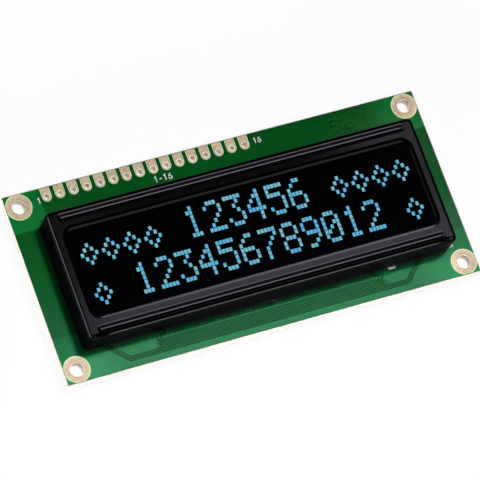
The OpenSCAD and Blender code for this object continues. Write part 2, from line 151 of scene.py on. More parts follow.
class Value:
    """A socket that takes part in shader maths: every operator adds a Math node to its tree."""

    def __init__(self, finish, socket):
        self.finish = finish
        self.socket = socket

    __add__ = __radd__ = maths("ADD")
    __sub__ = maths("SUBTRACT")
    __rsub__ = maths("SUBTRACT", flipped=True)
    __mul__ = __rmul__ = maths("MULTIPLY")
    __truediv__ = maths("DIVIDE")
    __rtruediv__ = maths("DIVIDE", flipped=True)
    __pow__ = maths("POWER")
    __rpow__ = maths("POWER", flipped=True)
    __gt__ = maths("GREATER_THAN")
    __lt__ = maths("LESS_THAN")
    __abs__ = maths("ABSOLUTE")
    least = maths("MINIMUM")
    most = maths("MAXIMUM")
    wrapped = maths("FRACT")
    sine = maths("SINE")

    def smooth(self, low, high):
        """0 below low, 1 above high and a soft step between them."""
        settings = {"interpolation_type": "SMOOTHSTEP"}
        return self.finish.add("ShaderNodeMapRange", settings, {0: self, 1: low, 2: high})


class Finish:
    """A node tree under construction, for one material or for the world."""

    def __init__(self, owner):
        owner.use_nodes = True
        self.owner = owner
        self.tree = owner.node_tree
        self.tree.nodes.clear()

    def add(self, kind, settings=None, sockets=None, out=0):
        """Adds one node: its settings first, then the values or links of its sockets."""
        node = self.tree.nodes.new(kind)
        for key, value in (settings or {}).items():
            setattr(node, key, value)
        for key, value in (sockets or {}).items():
            socket = node.inputs[key]
            if isinstance(value, Value):
                self.tree.links.new(value.socket, socket)
            else:
                socket.default_value = value
        return Value(self, node.outputs[out]) if node.outputs else None

    def parts(self, vector):
        """The three numbers of a vector."""
        first = self.add("ShaderNodeSeparateXYZ", None, {0: vector})
        return [Value(self, output) for output in first.socket.node.outputs]

    @cached_property
    def place(self):
        """The point on the part, in millimetres."""
        metres = self.add("ShaderNodeTexCoord", out="Object")
        return self.add("ShaderNodeVectorMath", {"operation": "SCALE"}, {0: metres, "Scale": 1 / MM})

    @cached_property
    def xyz(self):
        """The three numbers of that point."""
        return self.parts(self.place)

    @cached_property
    def up(self):
        """How far the surface faces up, from -1 to 1."""
        return self.parts(self.add("ShaderNodeNewGeometry", out="Normal"))[2]

    def times(self, vector, factors):
        """A vector or a colour, with its three parts scaled one by one."""
        return self.add("ShaderNodeVectorMath", {"operation": "MULTIPLY"}, {0: vector, 1: factors})

    def noise(self, scale, detail=3.0, roughness=0.55, factors=None):
        """Noise over the part, finer along the axes that have larger factors."""
        vector = self.times(self.place, factors) if factors else self.place
        sockets = {"Vector": vector, "Scale": scale, "Detail": detail, "Roughness": roughness}
        return self.add("ShaderNodeTexNoise", None, sockets)

    def blend(self, factor, first, second):
        """A colour between two others."""
        settings = {"data_type": "RGBA", "clamp_factor": True}
        return self.add("ShaderNodeMix", settings, {0: factor, 6: colour(first), 7: colour(second)}, 2)

    def bump(self, height, strength, depth=0.02):
        """A bumpy normal. The depth of the bumps is in millimetres."""
        sockets = {"Height": height, "Strength": strength, "Distance": depth * MM}
        return self.add("ShaderNodeBump", None, sockets)

    def principled(self, **sockets):
        """A Principled shader."""
        named = {name.replace("_", " "): value for name, value in sockets.items()}
        named["Base Color"] = colour(named["Base Color"])
        return self.add("ShaderNodeBsdfPrincipled", None, named)

    def mixed(self, factor, first, second):
        """A mix of two shaders."""
        return self.add("ShaderNodeMixShader", None, {0: factor, 1: first, 2: second})

    def output(self, shader, kind="ShaderNodeOutputMaterial"):
        """Ends the tree with a shader, and returns what the tree belongs to."""
        self.add(kind, None, {"Surface": shader})
        return self.owner

    def surface(self, **sockets):
        """Ends a material with a Principled shader, and returns the material."""
        return self.output(self.principled(**sockets))


def colour(shade):
    """A colour with its alpha, or a link as it is."""
    return shade if isinstance(shade, Value) else (*tuple(shade)[:3], 1.0)


def scaled(shade, *factors):
    """A colour times one factor, or times a factor for each of its three parts."""
    return [c * factor for c, factor in zip(shade, factors * 3 if len(factors) == 1 else factors)]


def slant(a, b):
    """Length of the slanting side over two sides at right angles."""
    return (a * a + b * b) ** 0.5


def beyond(x, y, half_x, half_y):
    """Distance beyond a rectangle round the origin, and 0 inside it."""
    return slant((abs(x) - half_x).most(0.0), (abs(y) - half_y).most(0.0))


def material(name):
    return Finish(bpy.data.materials.new(name))


# Meshes


def add_mesh(name, points, faces, finish, smooth=False):
    """Adds a mesh object. Its points are in millimetres."""
    mesh = bpy.data.meshes.new(name)
    mesh.from_pydata([tuple(c * MM for c in p) for p in points], [], faces)
    mesh.validate()
    mesh.materials.append(finish)
    if smooth:
        mesh.shade_smooth()
    piece = bpy.data.objects.new(name, mesh)
    bpy.context.scene.collection.objects.link(piece)
    return piece


class Solid:
    """Points and faces of a mesh that grows shape by shape."""

    def __init__(self):
        self.points = []
        self.faces = []

    def plate(self, loops, low, high):
        """A flat plate between two heights: its outline, then the outlines of its holes."""
        flat = [p for loop in loops for p in loop]
        first = len(self.points)
        count = len(flat)
        self.points += [(x, y, z) for z in (low, high) for x, y in flat]
        for tri in tessellate_polygon([[Vector((x, y, 0)) for x, y in loop] for loop in loops]):
            a, b, c = tri if loop_area([flat[i] for i in tri]) > 0 else tri[::-1]
            self.faces.append((first + count + a, first + count + b, first + count + c))
            self.faces.append((first + c, first + b, first + a))
        for number, loop in enumerate(loops):
            size = len(loop)
            outward = (loop_area(loop) > 0) == (number == 0)
            for i in range(size):
                j = (i + 1) % size
                wall = (first + i, first + j, first + j + count, first + i + count)
                self.faces.append(wall if outward else wall[::-1])
            first += size

    def loft(self, rings, closed=False, tip=None):
        """A skin over rings of points, closed on itself or capped. A tip may stand for the last cap."""
        start = len(self.points)
        size = len(rings[0])
        last = start + (len(rings) - 1) * size
        for ring in rings:
            self.points += ring
        for here in range(start, last + size if closed else last, size):
            there = start if here == last else here + size
            for i in range(size):
                j = (i + 1) % size
                self.faces.append((here + i, here + j, there + j, there + i))
        if closed:
            return
        self.faces.append(tuple(range(start, start + size))[::-1])
        if tip is None:
            self.faces.append(tuple(range(last, last + size)))
        else:
            self.points.append(tip)
            self.faces += [(last + i, last + (i + 1) % size, last + size) for i in range(size)]

    def turned(self, centre, profile, segments):
        """A closed profile of (radius, height) points, turned about an upright axis."""
        turns = circle((0, 0), 1.0, segments)[::-1]
        rings = [[(centre[0] + r * x, centre[1] + r * y, z) for r, z in profile] for x, y in turns]
        self.loft(rings, closed=True)

    def dome(self, low, high, height, rings=6, segments=28):
        """A drop of solder on the top of a box: flat below, rounded above."""
        middle = (low + high) / 2
        half = (high - low) / 2
        skin = []
        for share, lift in arc((0, 0), 1.0, 0, 90, rings)[:-1]:
            z = high.z + height * lift
            turns = circle((0, 0), share, segments)
            skin.append([(middle.x + half.x * x, middle.y + half.y * y, z) for x, y in turns])
        self.loft(skin, tip=(middle.x, middle.y, high.z + height))

    def piece(self, name, finish, slot, smooth=False):
        """Adds the mesh as a piece that rides on the module's body."""
        piece = add_mesh(name, self.points, self.faces, finish, smooth)
        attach(piece, BODY)
        return piece


def loop_area(loop):
    """Twice the signed area of a closed outline."""
    return sum(a[0] * b[1] - a[1] * b[0] for a, b in zip(loop, loop[1:] + loop[:1]))


def arc(centre, radius, start, end, steps):
    """Points along an arc, with its angles in degrees."""
    angles = [math.radians(start + (end - start) * i / steps) for i in range(steps + 1)]
    return [(centre[0] + radius * math.cos(a), centre[1] + radius * math.sin(a)) for a in angles]


def circle(centre, radius, segments=48):
    return arc(centre, radius, 0, 360, segments)[:-1]


def rectangle(low_x, low_y, high_x, high_y):
    return [(low_x, low_y), (high_x, low_y), (high_x, high_y), (low_x, high_y)]


def round_box(low, high, inset, radius):
    """Round-cornered outline of a box, drawn in by an inset."""
    points = []
    for sx, sy, start in ((1, 1, 0), (-1, 1, 90), (-1, -1, 180), (1, -1, 270)):
        x = (high.x if sx > 0 else low.x) - sx * (radius + inset)
        y = (high.y if sy > 0 else low.y) - sy * (radius + inset)
        points += arc((x, y), radius, start, start + 90, 6)
    return points


def ribbon(path, width):
    """A plate along a path, of even width and with mitred corners: its one outline."""
    points = [Vector(p) for i, p in enumerate(path) if i == 0 or p != path[i - 1]]
    runs = [(b - a).normalized() for a, b in zip(points, points[1:])]
    left, right = [], []
    for i, point in enumerate(points):
        before = runs[max(i - 1, 0)]
        after = runs[min(i, len(runs) - 1)]
        across = Vector((-before.y - after.y, before.x + after.x)).normalized()
        reach = width / 2 / across.dot(Vector((-before.y, before.x)))
        left.append(tuple(point + across * reach))
        right.append(tuple(point - across * reach))
    return [left + right[::-1]]


def scatter(number, stride):
    """A number from 0 to 1 that looks picked at random, the same on every run."""
    return (math.sin(number * stride * 7.13 + 0.4) * 43.7) % 1.0


# What a user may change


def colour_property(name, description, default):
    return bpy.props.FloatVectorProperty(
        name=name, description=description, default=default, subtype="COLOR", min=0.0, max=1.0
    )


def number_property(name, description, default, unit="NONE", **limits):
    return bpy.props.FloatProperty(name=name, description=description, default=default, unit=unit, **limits)


def length_property(name, description, default, least, most=10.0):
    """A length that is given here in millimetres and kept in metres."""
    limits = {"min": least * MM, "max": most * MM, "precision": 5}
    return number_property(name, description, default * MM, "LENGTH", **limits)


def angle_property(name, description, degrees):
    return number_property(name, description, math.radians(degrees), "ROTATION", subtype="ANGLE")


def row_property(name, default):
    described = "Sixteen cells: digits, spaces and * for a lozenge"
    return bpy.props.StringProperty(name=name, description=described, default=default)


class BoardLook(bpy.types.PropertyGroup):
    """Colours of the board"""

    mask: colour_property("Bare mask", "Green mask over bare laminate", (0.002, 0.085, 0.019))
    copper_mask: colour_property("Mask on copper", "Green mask over copper", (0.003, 0.21, 0.055))
    laminate: colour_property("Laminate", "Cut edge of the board", (0.80, 0.79, 0.70))
    plating: colour_property("Plating", "Plated lands and hole walls", (0.645, 0.575, 0.36))
    tin: colour_property("Tin", "Solder and tinned lands", (0.72, 0.72, 0.70))
    ink: colour_property("Print", "White print on the board", (0.92, 0.94, 0.92))


class CopperSizes(bpy.types.PropertyGroup):
    """Sizes of the copper under the mask"""

    foil: length_property("Foil", "Height of the copper over the board", 0.03, 0.01, 0.045)
    lane_pitch: length_property("Lane pitch", "Distance between neighbouring lanes of the bundle", 0.37, 0.2)
    lane_gap: length_property("Lane gap", "Gap between neighbouring lanes", 0.18, 0.05)
    comb_pitch: length_property("Comb pitch", "Distance between the cross tracks by the ends", 0.76, 0.3)
    thin_track: length_property("Thin track", "Width of a single track", 0.22, 0.1)
    via_r: length_property("Via radius", "Outer radius of a via", 0.3, 0.15)


class DisplayLook(bpy.types.PropertyGroup):
    """What the display shows, and its light"""

    row_1: row_property("Upper row", "**** 123456 ****")
    row_2: row_property("Lower row", "* 123456789012 *")
    light: colour_property("Light", "Colour of a lit dot", (0.085, 0.43, 0.74))
    pale_light: colour_property("Pale light", "Colour of the palest dots", (0.19, 0.50, 0.58))


class DotSizes(bpy.types.PropertyGroup):
    """Sizes of the display's dots"""

    width: length_property("Dot width", "Width of a dot", 0.55, 0.1)
    height: length_property("Dot height", "Height of a dot", 0.71, 0.1)
    pitch_x: length_property("Column pitch", "Distance between neighbouring columns of dots", 0.668, 0.2)
    pitch_y: length_property("Line pitch", "Distance between neighbouring lines of dots", 0.835, 0.2)


class StageLook(bpy.types.PropertyGroup):
    """Camera and light"""

    heading: angle_property("Heading", "Turn of the camera from -Y towards -X", 52.6)
    elevation: angle_property("Elevation", "Camera above the horizon", 65.42)
    roll: angle_property("Roll", "Turn of the camera about its own axis", 34.77)
    distance: number_property("Distance", "Camera to target", 0.73296, "LENGTH", min=0.1)
    lens: number_property("Lens", "Focal length", 309.96, "CAMERA", min=1.0)
    key: number_property("Key light", "Strength of the softbox overhead", 0.30, "POWER", min=0.0)
    panel: number_property("Panel", "Brightness of the panels that the gloss reflects", 1.0, min=0.0)
    edge: number_property("Edge light", "Brightness of the strips near the floor", 40.0, min=0.0)


def in_mm(group):
    """The lengths of a property group, in millimetres."""
    return SimpleNamespace(**{key: getattr(group, key) / MM for key in type(group).__annotations__})


# Finishes of the board

# Widths of the plated holes' lips, and radii at which the pale rims of the lands and of the pads start
SCREW_LIP = 0.1
PIN_LIP = 0.16
LAND_RIM = LAND_R - 0.25
PAD_RIM = 0.72

# Share of a plain varnish's reflection that the mask and the bezel's paint keep
MASK_GLOSS = 0.2
PAINT_GLOSS = 0.25

# Distances from the board's middle lines over which the copper gets brighter towards the corners: partly the
# copper itself, and partly painted light, so that the copper nearer the bezel keeps a painted shade
CORNER_X = (28.0, 36.0)
CORNER_Y = (11.5, 15.5)
UPPER_CORNER_Y = (8.0, 11.0)


def painted_sheen_hue(f):
    """Factors of the mask's colour that paint a reflection of the light on it: bluer towards the front edge
    and yellower towards the header row.
    """
    return f.blend(f.xyz[1].smooth(-15.0, 13.0), (1.0, 1.0, 1.12), (1.0, 1.0, 0.66))


def board_finish(look):
    """Green mask on the faces, with the glass weave faintly under it, and bare laminate round the edges."""
    f = material("board_mask")
    x, y, z = f.xyz
    weave = (x * 11.0).sine() * (y * 11.0).sine()
    cloudy = f.noise(0.35, 4.0)
    shade = (cloudy - 0.5) * 0.5 + weave * 0.06 + 0.5
    # The mask's colour takes a painted reflection, bluer towards the front.
    green = f.times(f.blend(shade, scaled(look.mask, 0.86), scaled(look.mask, 1.16)), painted_sheen_hue(f))
    layers = (z * 32.0 + f.noise(1.2) * 2.0).sine() * 0.5 + 0.5
    fibre = f.noise(3.0, 5.0, factors=(1.0, 1.0, 9.0))
    cut = f.blend(layers * 0.55 + fibre * 0.45, scaled(look.laminate, 0.82), look.laminate)
    margin = (BOARD_HALF.x - abs(x)).least(BOARD_HALF.y - abs(y))
    masked = (abs(f.up) > 0.5) * (margin + fibre * 0.1 - 0.05).smooth(0.06, 0.14)
    return f.surface(
        Base_Color=f.blend(masked, cut, green),
        Roughness=masked * (cloudy * 0.05 - 0.455) + 0.5,
        Normal=f.bump(f.noise(3.0, 2.0), 0.04, 0.01),
        Specular_IOR_Level=MASK_GLOSS,
    )


def copper_finish(look, name, share, corner_share, corner_y=CORNER_Y, gloss=MASK_GLOSS):
    """Mask over copper. A share of 0 is as dark as bare mask and 1 as bright as full copper, and the corners
    have a share of their own, brighter partly from the copper and partly from painted light away from the
    bezel's shade."""
    f = material(f"mask_on_{name}")
    x, y, _ = f.xyz
    cloudy = f.noise(0.28, 4.0)
    fine = f.noise(2.4)
    plain, corner = (
        [bare + part * (full - bare) for bare, full in zip(look.mask, look.copper_mask)]
        for part in (share, corner_share)
    )
    # Brighter towards the corners: partly the copper, partly painted light, leaving painted shade by the
    # bezel.
    green = f.blend(abs(x).smooth(*CORNER_X) * abs(y).smooth(*corner_y), plain, corner)
    # The copper's green takes the same painted reflection, bluer towards the front.
    green = f.times(green, painted_sheen_hue(f))
    shade = (cloudy - 0.5) * 0.5 + (fine - 0.5) * 0.2 + 0.5
    return f.surface(
        Base_Color=f.blend(shade, f.times(green, (0.86, 0.86, 0.86)), f.times(green, (1.14, 1.14, 1.14))),
        Roughness=fine * 0.05 + 0.05,
        Normal=f.bump(fine, 0.04, 0.01),
        Specular_IOR_Level=gloss,
    )


def plating_finish(look, name, from_hole, lip_r, rim_r):
    """Plated land: mottled and rosy, with painted shade in a dark ring round its hole's lip, pale at its
    rim, with painted shade in front and painted light behind.
    """
    f = material(name)
    x, y, _ = f.xyz
    blotch = f.noise(1.3, 5.0, 0.65)
    streak = f.noise(2.0, 4.0, factors=(0.7, 2.6, 1.0))
    spots = f.noise(5.0, 3.0, 0.7)
    away = from_hole(x, y)
    edge = away.smooth(rim_r - 0.06, rim_r + 0.1)
    # A dark ring just outside the hole's lip: painted shade, where the edge of the hole falls into shadow.
    line = 1.0 - abs(away - lip_r - 0.06).smooth(0.02, 0.12)
    rosy = scaled(look.plating, 0.92, 0.66, 0.58)
    pale = scaled(look.plating, 1.06, 1.36, 1.36)
    mottled = (blotch * 0.3 + streak * 0.4 + spots * 0.3).smooth(0.42, 0.58)
    body = f.blend(mottled, rosy, look.plating)
    # Darker spots, and the painted shade of the ring round the lip.
    body = f.blend(spots.smooth(0.5, 0.75) * 0.5 + line * 0.6, body, scaled(rosy, 0.4))
    body = f.blend(edge * 0.8 + (streak - 0.5) * 0.6, body, pale)
    # Painted shade in front and painted light behind, evening out how the light falls on the lands.
    painted_light_tone = f.blend(y.smooth(-14.0, 14.0), (0.84, 0.84, 0.86), (1.06, 1.06, 1.06))
    return f.surface(
        Base_Color=f.times(body, painted_light_tone),
        Metallic=0.55,
        Roughness=blotch * 0.2 + 0.3,
        Normal=f.bump(blotch + streak * 0.5 + edge * 1.5, 0.35),
    )


def from_screw(x, y):
    """Distance from the middle of the nearest screw hole."""
    return slant(abs(x) - SCREW_X, abs(y) - SCREW_Y)


def from_pin(x, y):
    """Distance from the nearest pin's middle, or above it from the middle line of its pad."""
    across = (((x - PIN_FIRST.x) / PIN_PITCH + 0.5).wrapped() - 0.5) * PIN_PITCH
    return slant(across, (y - PIN_FIRST.y).least(0.0))


def barrel_finish(look):
    """Plated holes: bright walls, and paler lips on the faces."""
    f = material("barrel_plating")
    blotch = f.noise(1.8, 4.0)
    half = BOARD_HIGH.z - BOARD_MIDDLE_Z
    lip = abs(f.xyz[2] - BOARD_MIDDLE_Z).smooth(half - 0.1, half)
    rosy = scaled(look.plating, 0.72, 0.52, 0.56)
    wall = f.blend(blotch.smooth(0.35, 0.65), rosy, (0.86, 0.72, 0.62))
    return f.surface(
        Base_Color=f.blend(lip, wall, (0.92, 0.88, 0.78)),
        Metallic=0.6 - lip * 0.5,
        Roughness=blotch * 0.2 + 0.3,
        Normal=f.bump(blotch, 0.3),
    )


def tin_finish(look):
    """Solder: bright, a little wavy."""
    f = material("solder_tin")
    wavy = f.noise(1.6)
    return f.surface(
        Base_Color=f.blend(wavy, scaled(look.tin, 0.8), look.tin),
        Metallic=0.85,
        Roughness=wavy * 0.25 + 0.22,
        Normal=f.bump(wavy, 0.4, 0.03),
    )


def print_finish(look):
    """White print, slightly broken up where it lies on the mask."""
    f = material("board_print")
    grain = f.noise(9.0)
    return f.surface(
        Base_Color=f.blend(grain.smooth(0.3, 0.6), scaled(look.ink, 0.72, 0.82, 0.76), look.ink),
        Roughness=grain * 0.2 + 0.5,
        Normal=f.bump(grain, 0.2, 0.01),
    )


# Finishes of the bezel and of the display

# The bezel's window, and what stands slightly proud of the bezel's face
WINDOW_X = 0.2
WINDOW_Y = -0.6
WINDOW_HALF_X = 33.0
WINDOW_HALF_Y = 8.1
WINDOW_R = 1.4
RIM_RISE = 0.05
RIDGE_RISE = 0.35
RIDGE_HALF = 33.0
RIDGE_BAND = 1.05
PEEL_RISE = 0.0005


def pressed_height(f):
    """Height of the bezel's finest forms: its window's rim, and the outer side of its lower groove."""
    x, y, _ = f.xyz
    across = x - WINDOW_X
    away = beyond(across, y - WINDOW_Y, WINDOW_HALF_X - WINDOW_R, WINDOW_HALF_Y - WINDOW_R) - WINDOW_R
    rim = (1.0 - away.smooth(0.25, 0.85)) * RIM_RISE
    along = 1.0 - abs(across).smooth(RIDGE_HALF - 2.0, RIDGE_HALF + 2.4)
    ridge = (BEZEL_LOW.y + RIDGE_BAND - y).smooth(0.0, 1.0) * along * RIDGE_RISE
    return rim + ridge


def bezel_finish():
    """Black paint with a fine orange-peel skin: satin on the face, and drier on the walls and tabs."""
    f = material("bezel_paint")
    peel = f.noise(2.2, 2.0)
    drift = f.noise(0.12)
    shared = {
        "Base_Color": f.blend(drift, (0.0004, 0.0004, 0.0005), (0.0012, 0.0012, 0.0015)),
        "Normal": f.bump(pressed_height(f) + peel * PEEL_RISE, 1.0, 1.0),
    }
    dry = f.principled(Roughness=peel * 0.1 + 0.35, Specular_IOR_Level=PAINT_GLOSS * 0.05, **shared)
    satin_rough = drift * 0.03 + peel * 0.02 + 0.08
    satin = f.principled(Roughness=satin_rough, Specular_IOR_Level=PAINT_GLOSS, **shared)
    return f.output(f.mixed(abs(f.up).smooth(0.3, 0.8), dry, satin))


def film_finish(dots):
    """Glossy dark polariser, with the unlit dot cells just showing in it."""
    f = material("polariser_film")
    x, y, _ = f.xyz
    column = (x / dots.pitch_x).wrapped()
    line = (y / dots.pitch_y).wrapped()
    cell = (abs(column - 0.5) < 0.44) * (abs(line - 0.5) < 0.44)
    drift = f.noise(0.2, 2.0)
    return f.surface(
        Base_Color=f.blend(cell * 0.8 + drift * 0.2, (0.0003, 0.0004, 0.0006), (0.0005, 0.0006, 0.0010)),
        Roughness=drift * 0.04 + 0.05,
        Specular_IOR_Level=0.003,
        IOR=1.5,
    )


def dot_finish(look):
    """Light of the dots, a little paler on some than on others."""
    f = material("lit_dots")
    patch = f.noise(0.8, 2.0)
    return f.surface(
        Base_Color=(0.0, 0.0, 0.0),
        Emission_Color=f.blend(patch.smooth(0.35, 0.65), look.light, look.pale_light),
        Emission_Strength=1.0,
        Roughness=patch * 0.1 + 0.3,
        Specular_IOR_Level=0.0,
    )


def glass_finish():
    """Clear sheet glass with faint smears."""
    f = material("sheet_glass")
    smear = f.noise(0.8, 4.0, factors=(0.2, 1.0, 1.0))
    return f.surface(
        Base_Color=f.blend(smear, (0.62, 0.74, 0.72), (0.76, 0.84, 0.84)),
        Roughness=smear * 0.06 + 0.03,
        Alpha=0.4,
        IOR=1.52,
    )


def foam_finish():
    """Closed-cell foam."""
    f = material("foam_cells")
    cell = f.add("ShaderNodeTexVoronoi", None, {"Vector": f.place, "Scale": 3.2}, "Distance")
    return f.surface(
        Base_Color=f.blend(cell.smooth(0.1, 0.6), (0.075, 0.075, 0.08), (0.022, 0.022, 0.025)),
        Roughness=cell * 0.1 + 0.85,
        Normal=f.bump(cell, 0.8, 0.1),
    )


def flex_finish():
    """Amber film with its fine copper lines."""
    f = material("flex_film")
    line = abs((f.xyz[0] / 0.7).wrapped() - 0.5).smooth(0.2, 0.26)
    drift = f.noise(0.4)
    film = f.blend(drift, (0.46, 0.19, 0.02), (0.62, 0.30, 0.05))
    copper = f.blend(drift, (0.62, 0.24, 0.06), (0.74, 0.33, 0.10))
    return f.surface(
        Base_Color=f.blend(line, film, copper),
        Metallic=line * 0.5,
        Roughness=drift * 0.1 + 0.25,
        Normal=f.bump(line, 0.2, 0.01),
    )


# Finishes of the smaller parts

# Bodies of the parts with tinned ends: scale of the grain, roughness, what the grain adds to it and the tin
# takes off it, and strength of the bump
CERAMIC = (6.0, 0.45, 0.15, 0.12, 0.2)
MOULDED = (9.0, 0.55, 0.12, 0.25, 0.3)
MOULDED_SHADES = ((0.008, 0.008, 0.009), (0.018, 0.018, 0.02))
CHIP_SHADES = {
    "capacitor": ((0.27, 0.15, 0.075), (0.38, 0.23, 0.12)),
    "resistor": ((0.008, 0.008, 0.011), (0.02, 0.02, 0.026)),
}
CHIP_END = 0.4
REGULATOR_HALF = 0.81
DIODE_HALF = 1.36


def grain_finish(name, dark, light, scale, rough, bump):
    """A plain material with a grain of its own: two shades, an even roughness and a bump."""
    f = material(name)
    grain = f.noise(scale, 5.0, 0.6)
    drift = f.noise(scale * 0.15, 2.0)
    return f.surface(
        Base_Color=f.blend(grain * 0.7 + drift * 0.3, dark, light),
        Roughness=grain * 0.15 + rough - 0.075,
        Normal=f.bump(grain, bump),
    )


def tinned_finish(name, node, axis, half, body, shades, tin):
    """A body up to half its length from the part's middle, along X (0) or Y (1), and tin beyond it."""
    scale, rough, added, taken, bump = body
    low, high = box_mm(node)
    f = material(name)
    grain = f.noise(scale, 4.0)
    tinned = abs(f.xyz[axis] - (low[axis] + high[axis]) / 2) > half
    return f.surface(
        Base_Color=f.blend(tinned, f.blend(grain, *shades), tin),
        Metallic=tinned * 0.85,
        Roughness=grain * added + rough - tinned * taken,
        Normal=f.bump(grain, bump),
    )


def dress(finish, *nodes):
    """Gives packed nodes their finish."""
    for node in nodes:
        materials = frame["nodes"][node].data.materials
        materials.clear()
        materials.append(finish)


# Copper of the front face

# How far the copper keeps off the board's edges, and how far it goes in under the bezel
EDGE_KEEP = 0.2
HIDDEN = 0.6

# Margins beside the bezel: where the plain copper of the corners ends, and the cross tracks between
PLAIN_TOP = 10.8
PLAIN_LOW = -9.3
COMB_TOP = 9.3
COMB_LOW = -8.9
COMB_INSET = 0.5

# The bundle of lanes along the front strip. The outer lanes bend up at both ends
LANE_TOP = -14.38
LANE_COUNT = 6
OUTER_LANES = 2
INNER_LANES = LANE_COUNT - OUTER_LANES
BUNDLE_END = 20.4
LANE_STEP = 0.35
LEFT_BEND = -26.9
RIGHT_BEND = 25.4
BEND_RUN = 3.6
BEND_SPREAD = 0.41
BAR_Y = -14.06
BAR_WIDTH = 0.4
PATCH_TOP = 21.6
PATCH_LOW = 22.4

# The slanting hatch over the bundle's ends
HATCH_COUNT = 6
HATCH_PITCH = 0.62
HATCH_WIDTH = 0.2
HATCH_SLANT = 1.3

# The upper strip: inner ends of its corner copper, and how far that keeps off the bezel
UPPER_LEFT = -33.2
UPPER_RIGHT = 30.0
UPPER_KEEP = 0.6

# At its right a group of vias and short specks of track, with long tracks on both sides
GROUP_X = 22.4
GROUP_Y = 12.5
GROUP_WIDTH = 5.2
GROUP_HEIGHT = 4.3
SPECK_COUNT = 14
SPECK_WIDTH = 0.24
GROUP_SIDE = 5
TRACK_ROWS = 9
NEAR_ROWS = 7
ROW_PITCH = 0.6
TRACKS_START = 10.6
TRACKS_END = 31.2

# Vias between the bundle and the bezel, with some of every eight left out, and single vias elsewhere
VIA_ROW_X = -19.4
VIA_ROW_Y = -13.35
VIA_ROW_PITCH = 0.75
VIA_ROW_COUNT = 52
LEFT_OUT = (2, 3, 7)
LONE_VIAS = [(-38.6, -9.9), (-38.0, -8.4), (-36.6, -5.6), (-36.4, -10.2), (38.3, 9.9), (37.2, -9.8)]
VIA_SEGMENTS = 14


def screw_opening(place):
    """Opening of the copper round a screw hole."""
    return circle(place, SCREW_R + SCREW_LIP)


def lane_y(sizes, gap):
    """Height of a gap line of the bundle, counted from its upper side."""
    return LANE_TOP - gap * sizes.lane_pitch


def bent_lane(y):
    """Path of an outer lane: down from the bezel's corner, along the strip and up again at its other end."""
    out = BEND_SPREAD * (LANE_TOP - y)
    return [
        (LEFT_BEND - BEND_RUN - out, y + BEND_RUN),
        (LEFT_BEND - out, y),
        (RIGHT_BEND + out, y),
        (RIGHT_BEND + BEND_RUN + out, y + BEND_RUN),
    ]


def front_pours(sizes):
    """The copper areas of the front strip, each an outline and its holes."""
    half_gap = sizes.lane_gap / 2
    left = BOARD_LOW.x + EDGE_KEEP
    right = BOARD_HIGH.x - EDGE_KEEP
    low = BOARD_LOW.y + EDGE_KEEP
    foot_left = BEZEL_LOW.x + HIDDEN
    foot_right = BEZEL_HIGH.x - HIDDEN
    foot = BEZEL_LOW.y + HIDDEN
    outer, inner = (
        [(x, min(y, foot)) for x, y in bent_lane(level)]
        for level in (lane_y(sizes, LANE_COUNT) - half_gap, lane_y(sizes, INNER_LANES) + half_gap)
    )
    strip = [
        (left, low), (right, low), (right, PLAIN_LOW), (foot_right, PLAIN_LOW), (foot_right, foot),
        *outer[::-1],
        (foot_left, foot), (foot_left, PLAIN_LOW), (left, PLAIN_LOW),
    ]
    left_patch = [*inner[:2], (-PATCH_LOW, inner[1][1]), (-PATCH_TOP, foot)]
    right_patch = [(PATCH_TOP, foot), (PATCH_LOW, inner[2][1]), *inner[2:]]
    holes = [screw_opening(place) for place in SCREW_PLACES if place[1] < 0]
    return [[strip, *holes], [left_patch], [right_patch]]


def upper_pours():
    """The copper areas by the two upper corners, each an outline and its hole."""
    low = BEZEL_HIGH.y + UPPER_KEEP
    high = BOARD_HIGH.y - EDGE_KEEP
    found = []
    for side, foot, inner in (
        (-1, BEZEL_LOW.x + HIDDEN, UPPER_LEFT),
        (1, BEZEL_HIGH.x - HIDDEN, UPPER_RIGHT),
    ):
        edge = side * (BOARD_HIGH.x - EDGE_KEEP)
        outline = [
            (inner, low), (foot, low), (foot, PLAIN_TOP), (edge, PLAIN_TOP), (edge, high), (inner, high),
        ]
        found.append([outline, screw_opening((side * SCREW_X, SCREW_Y))])
    return found


def bundle_beds(sizes):
    """The dark ground between the lanes of the bundle and of its bends, its hatch and the specks."""
    bends = bent_lane(lane_y(sizes, LANE_COUNT - OUTER_LANES / 2))
    half_gap = sizes.lane_gap / 2
    end = BUNDLE_END + LANE_STEP * INNER_LANES
    beds = [
        ribbon(bends, OUTER_LANES * sizes.lane_pitch + sizes.lane_gap),
        [rectangle(-end, lane_y(sizes, INNER_LANES) + half_gap, end, LANE_TOP + half_gap)],
    ]
    for side in (-1, 1):
        for i in range(HATCH_COUNT):
            x = BUNDLE_END - 1.0 + HATCH_PITCH * i
            path = [(side * x, BEZEL_LOW.y + HIDDEN), (side * (x + HATCH_SLANT), LANE_TOP + sizes.lane_gap)]
            beds.append(ribbon(path, HATCH_WIDTH))
    for i in range(SPECK_COUNT):
        x = GROUP_X + GROUP_WIDTH * scatter(i, 1.7)
        y = GROUP_Y + GROUP_HEIGHT * scatter(i, 2.9)
        path = [(x, y), (x + 0.5, y + 0.15), (x + 0.9, y + 0.6 * scatter(i, 0.8))]
        beds.append(ribbon(path, SPECK_WIDTH))
    return beds


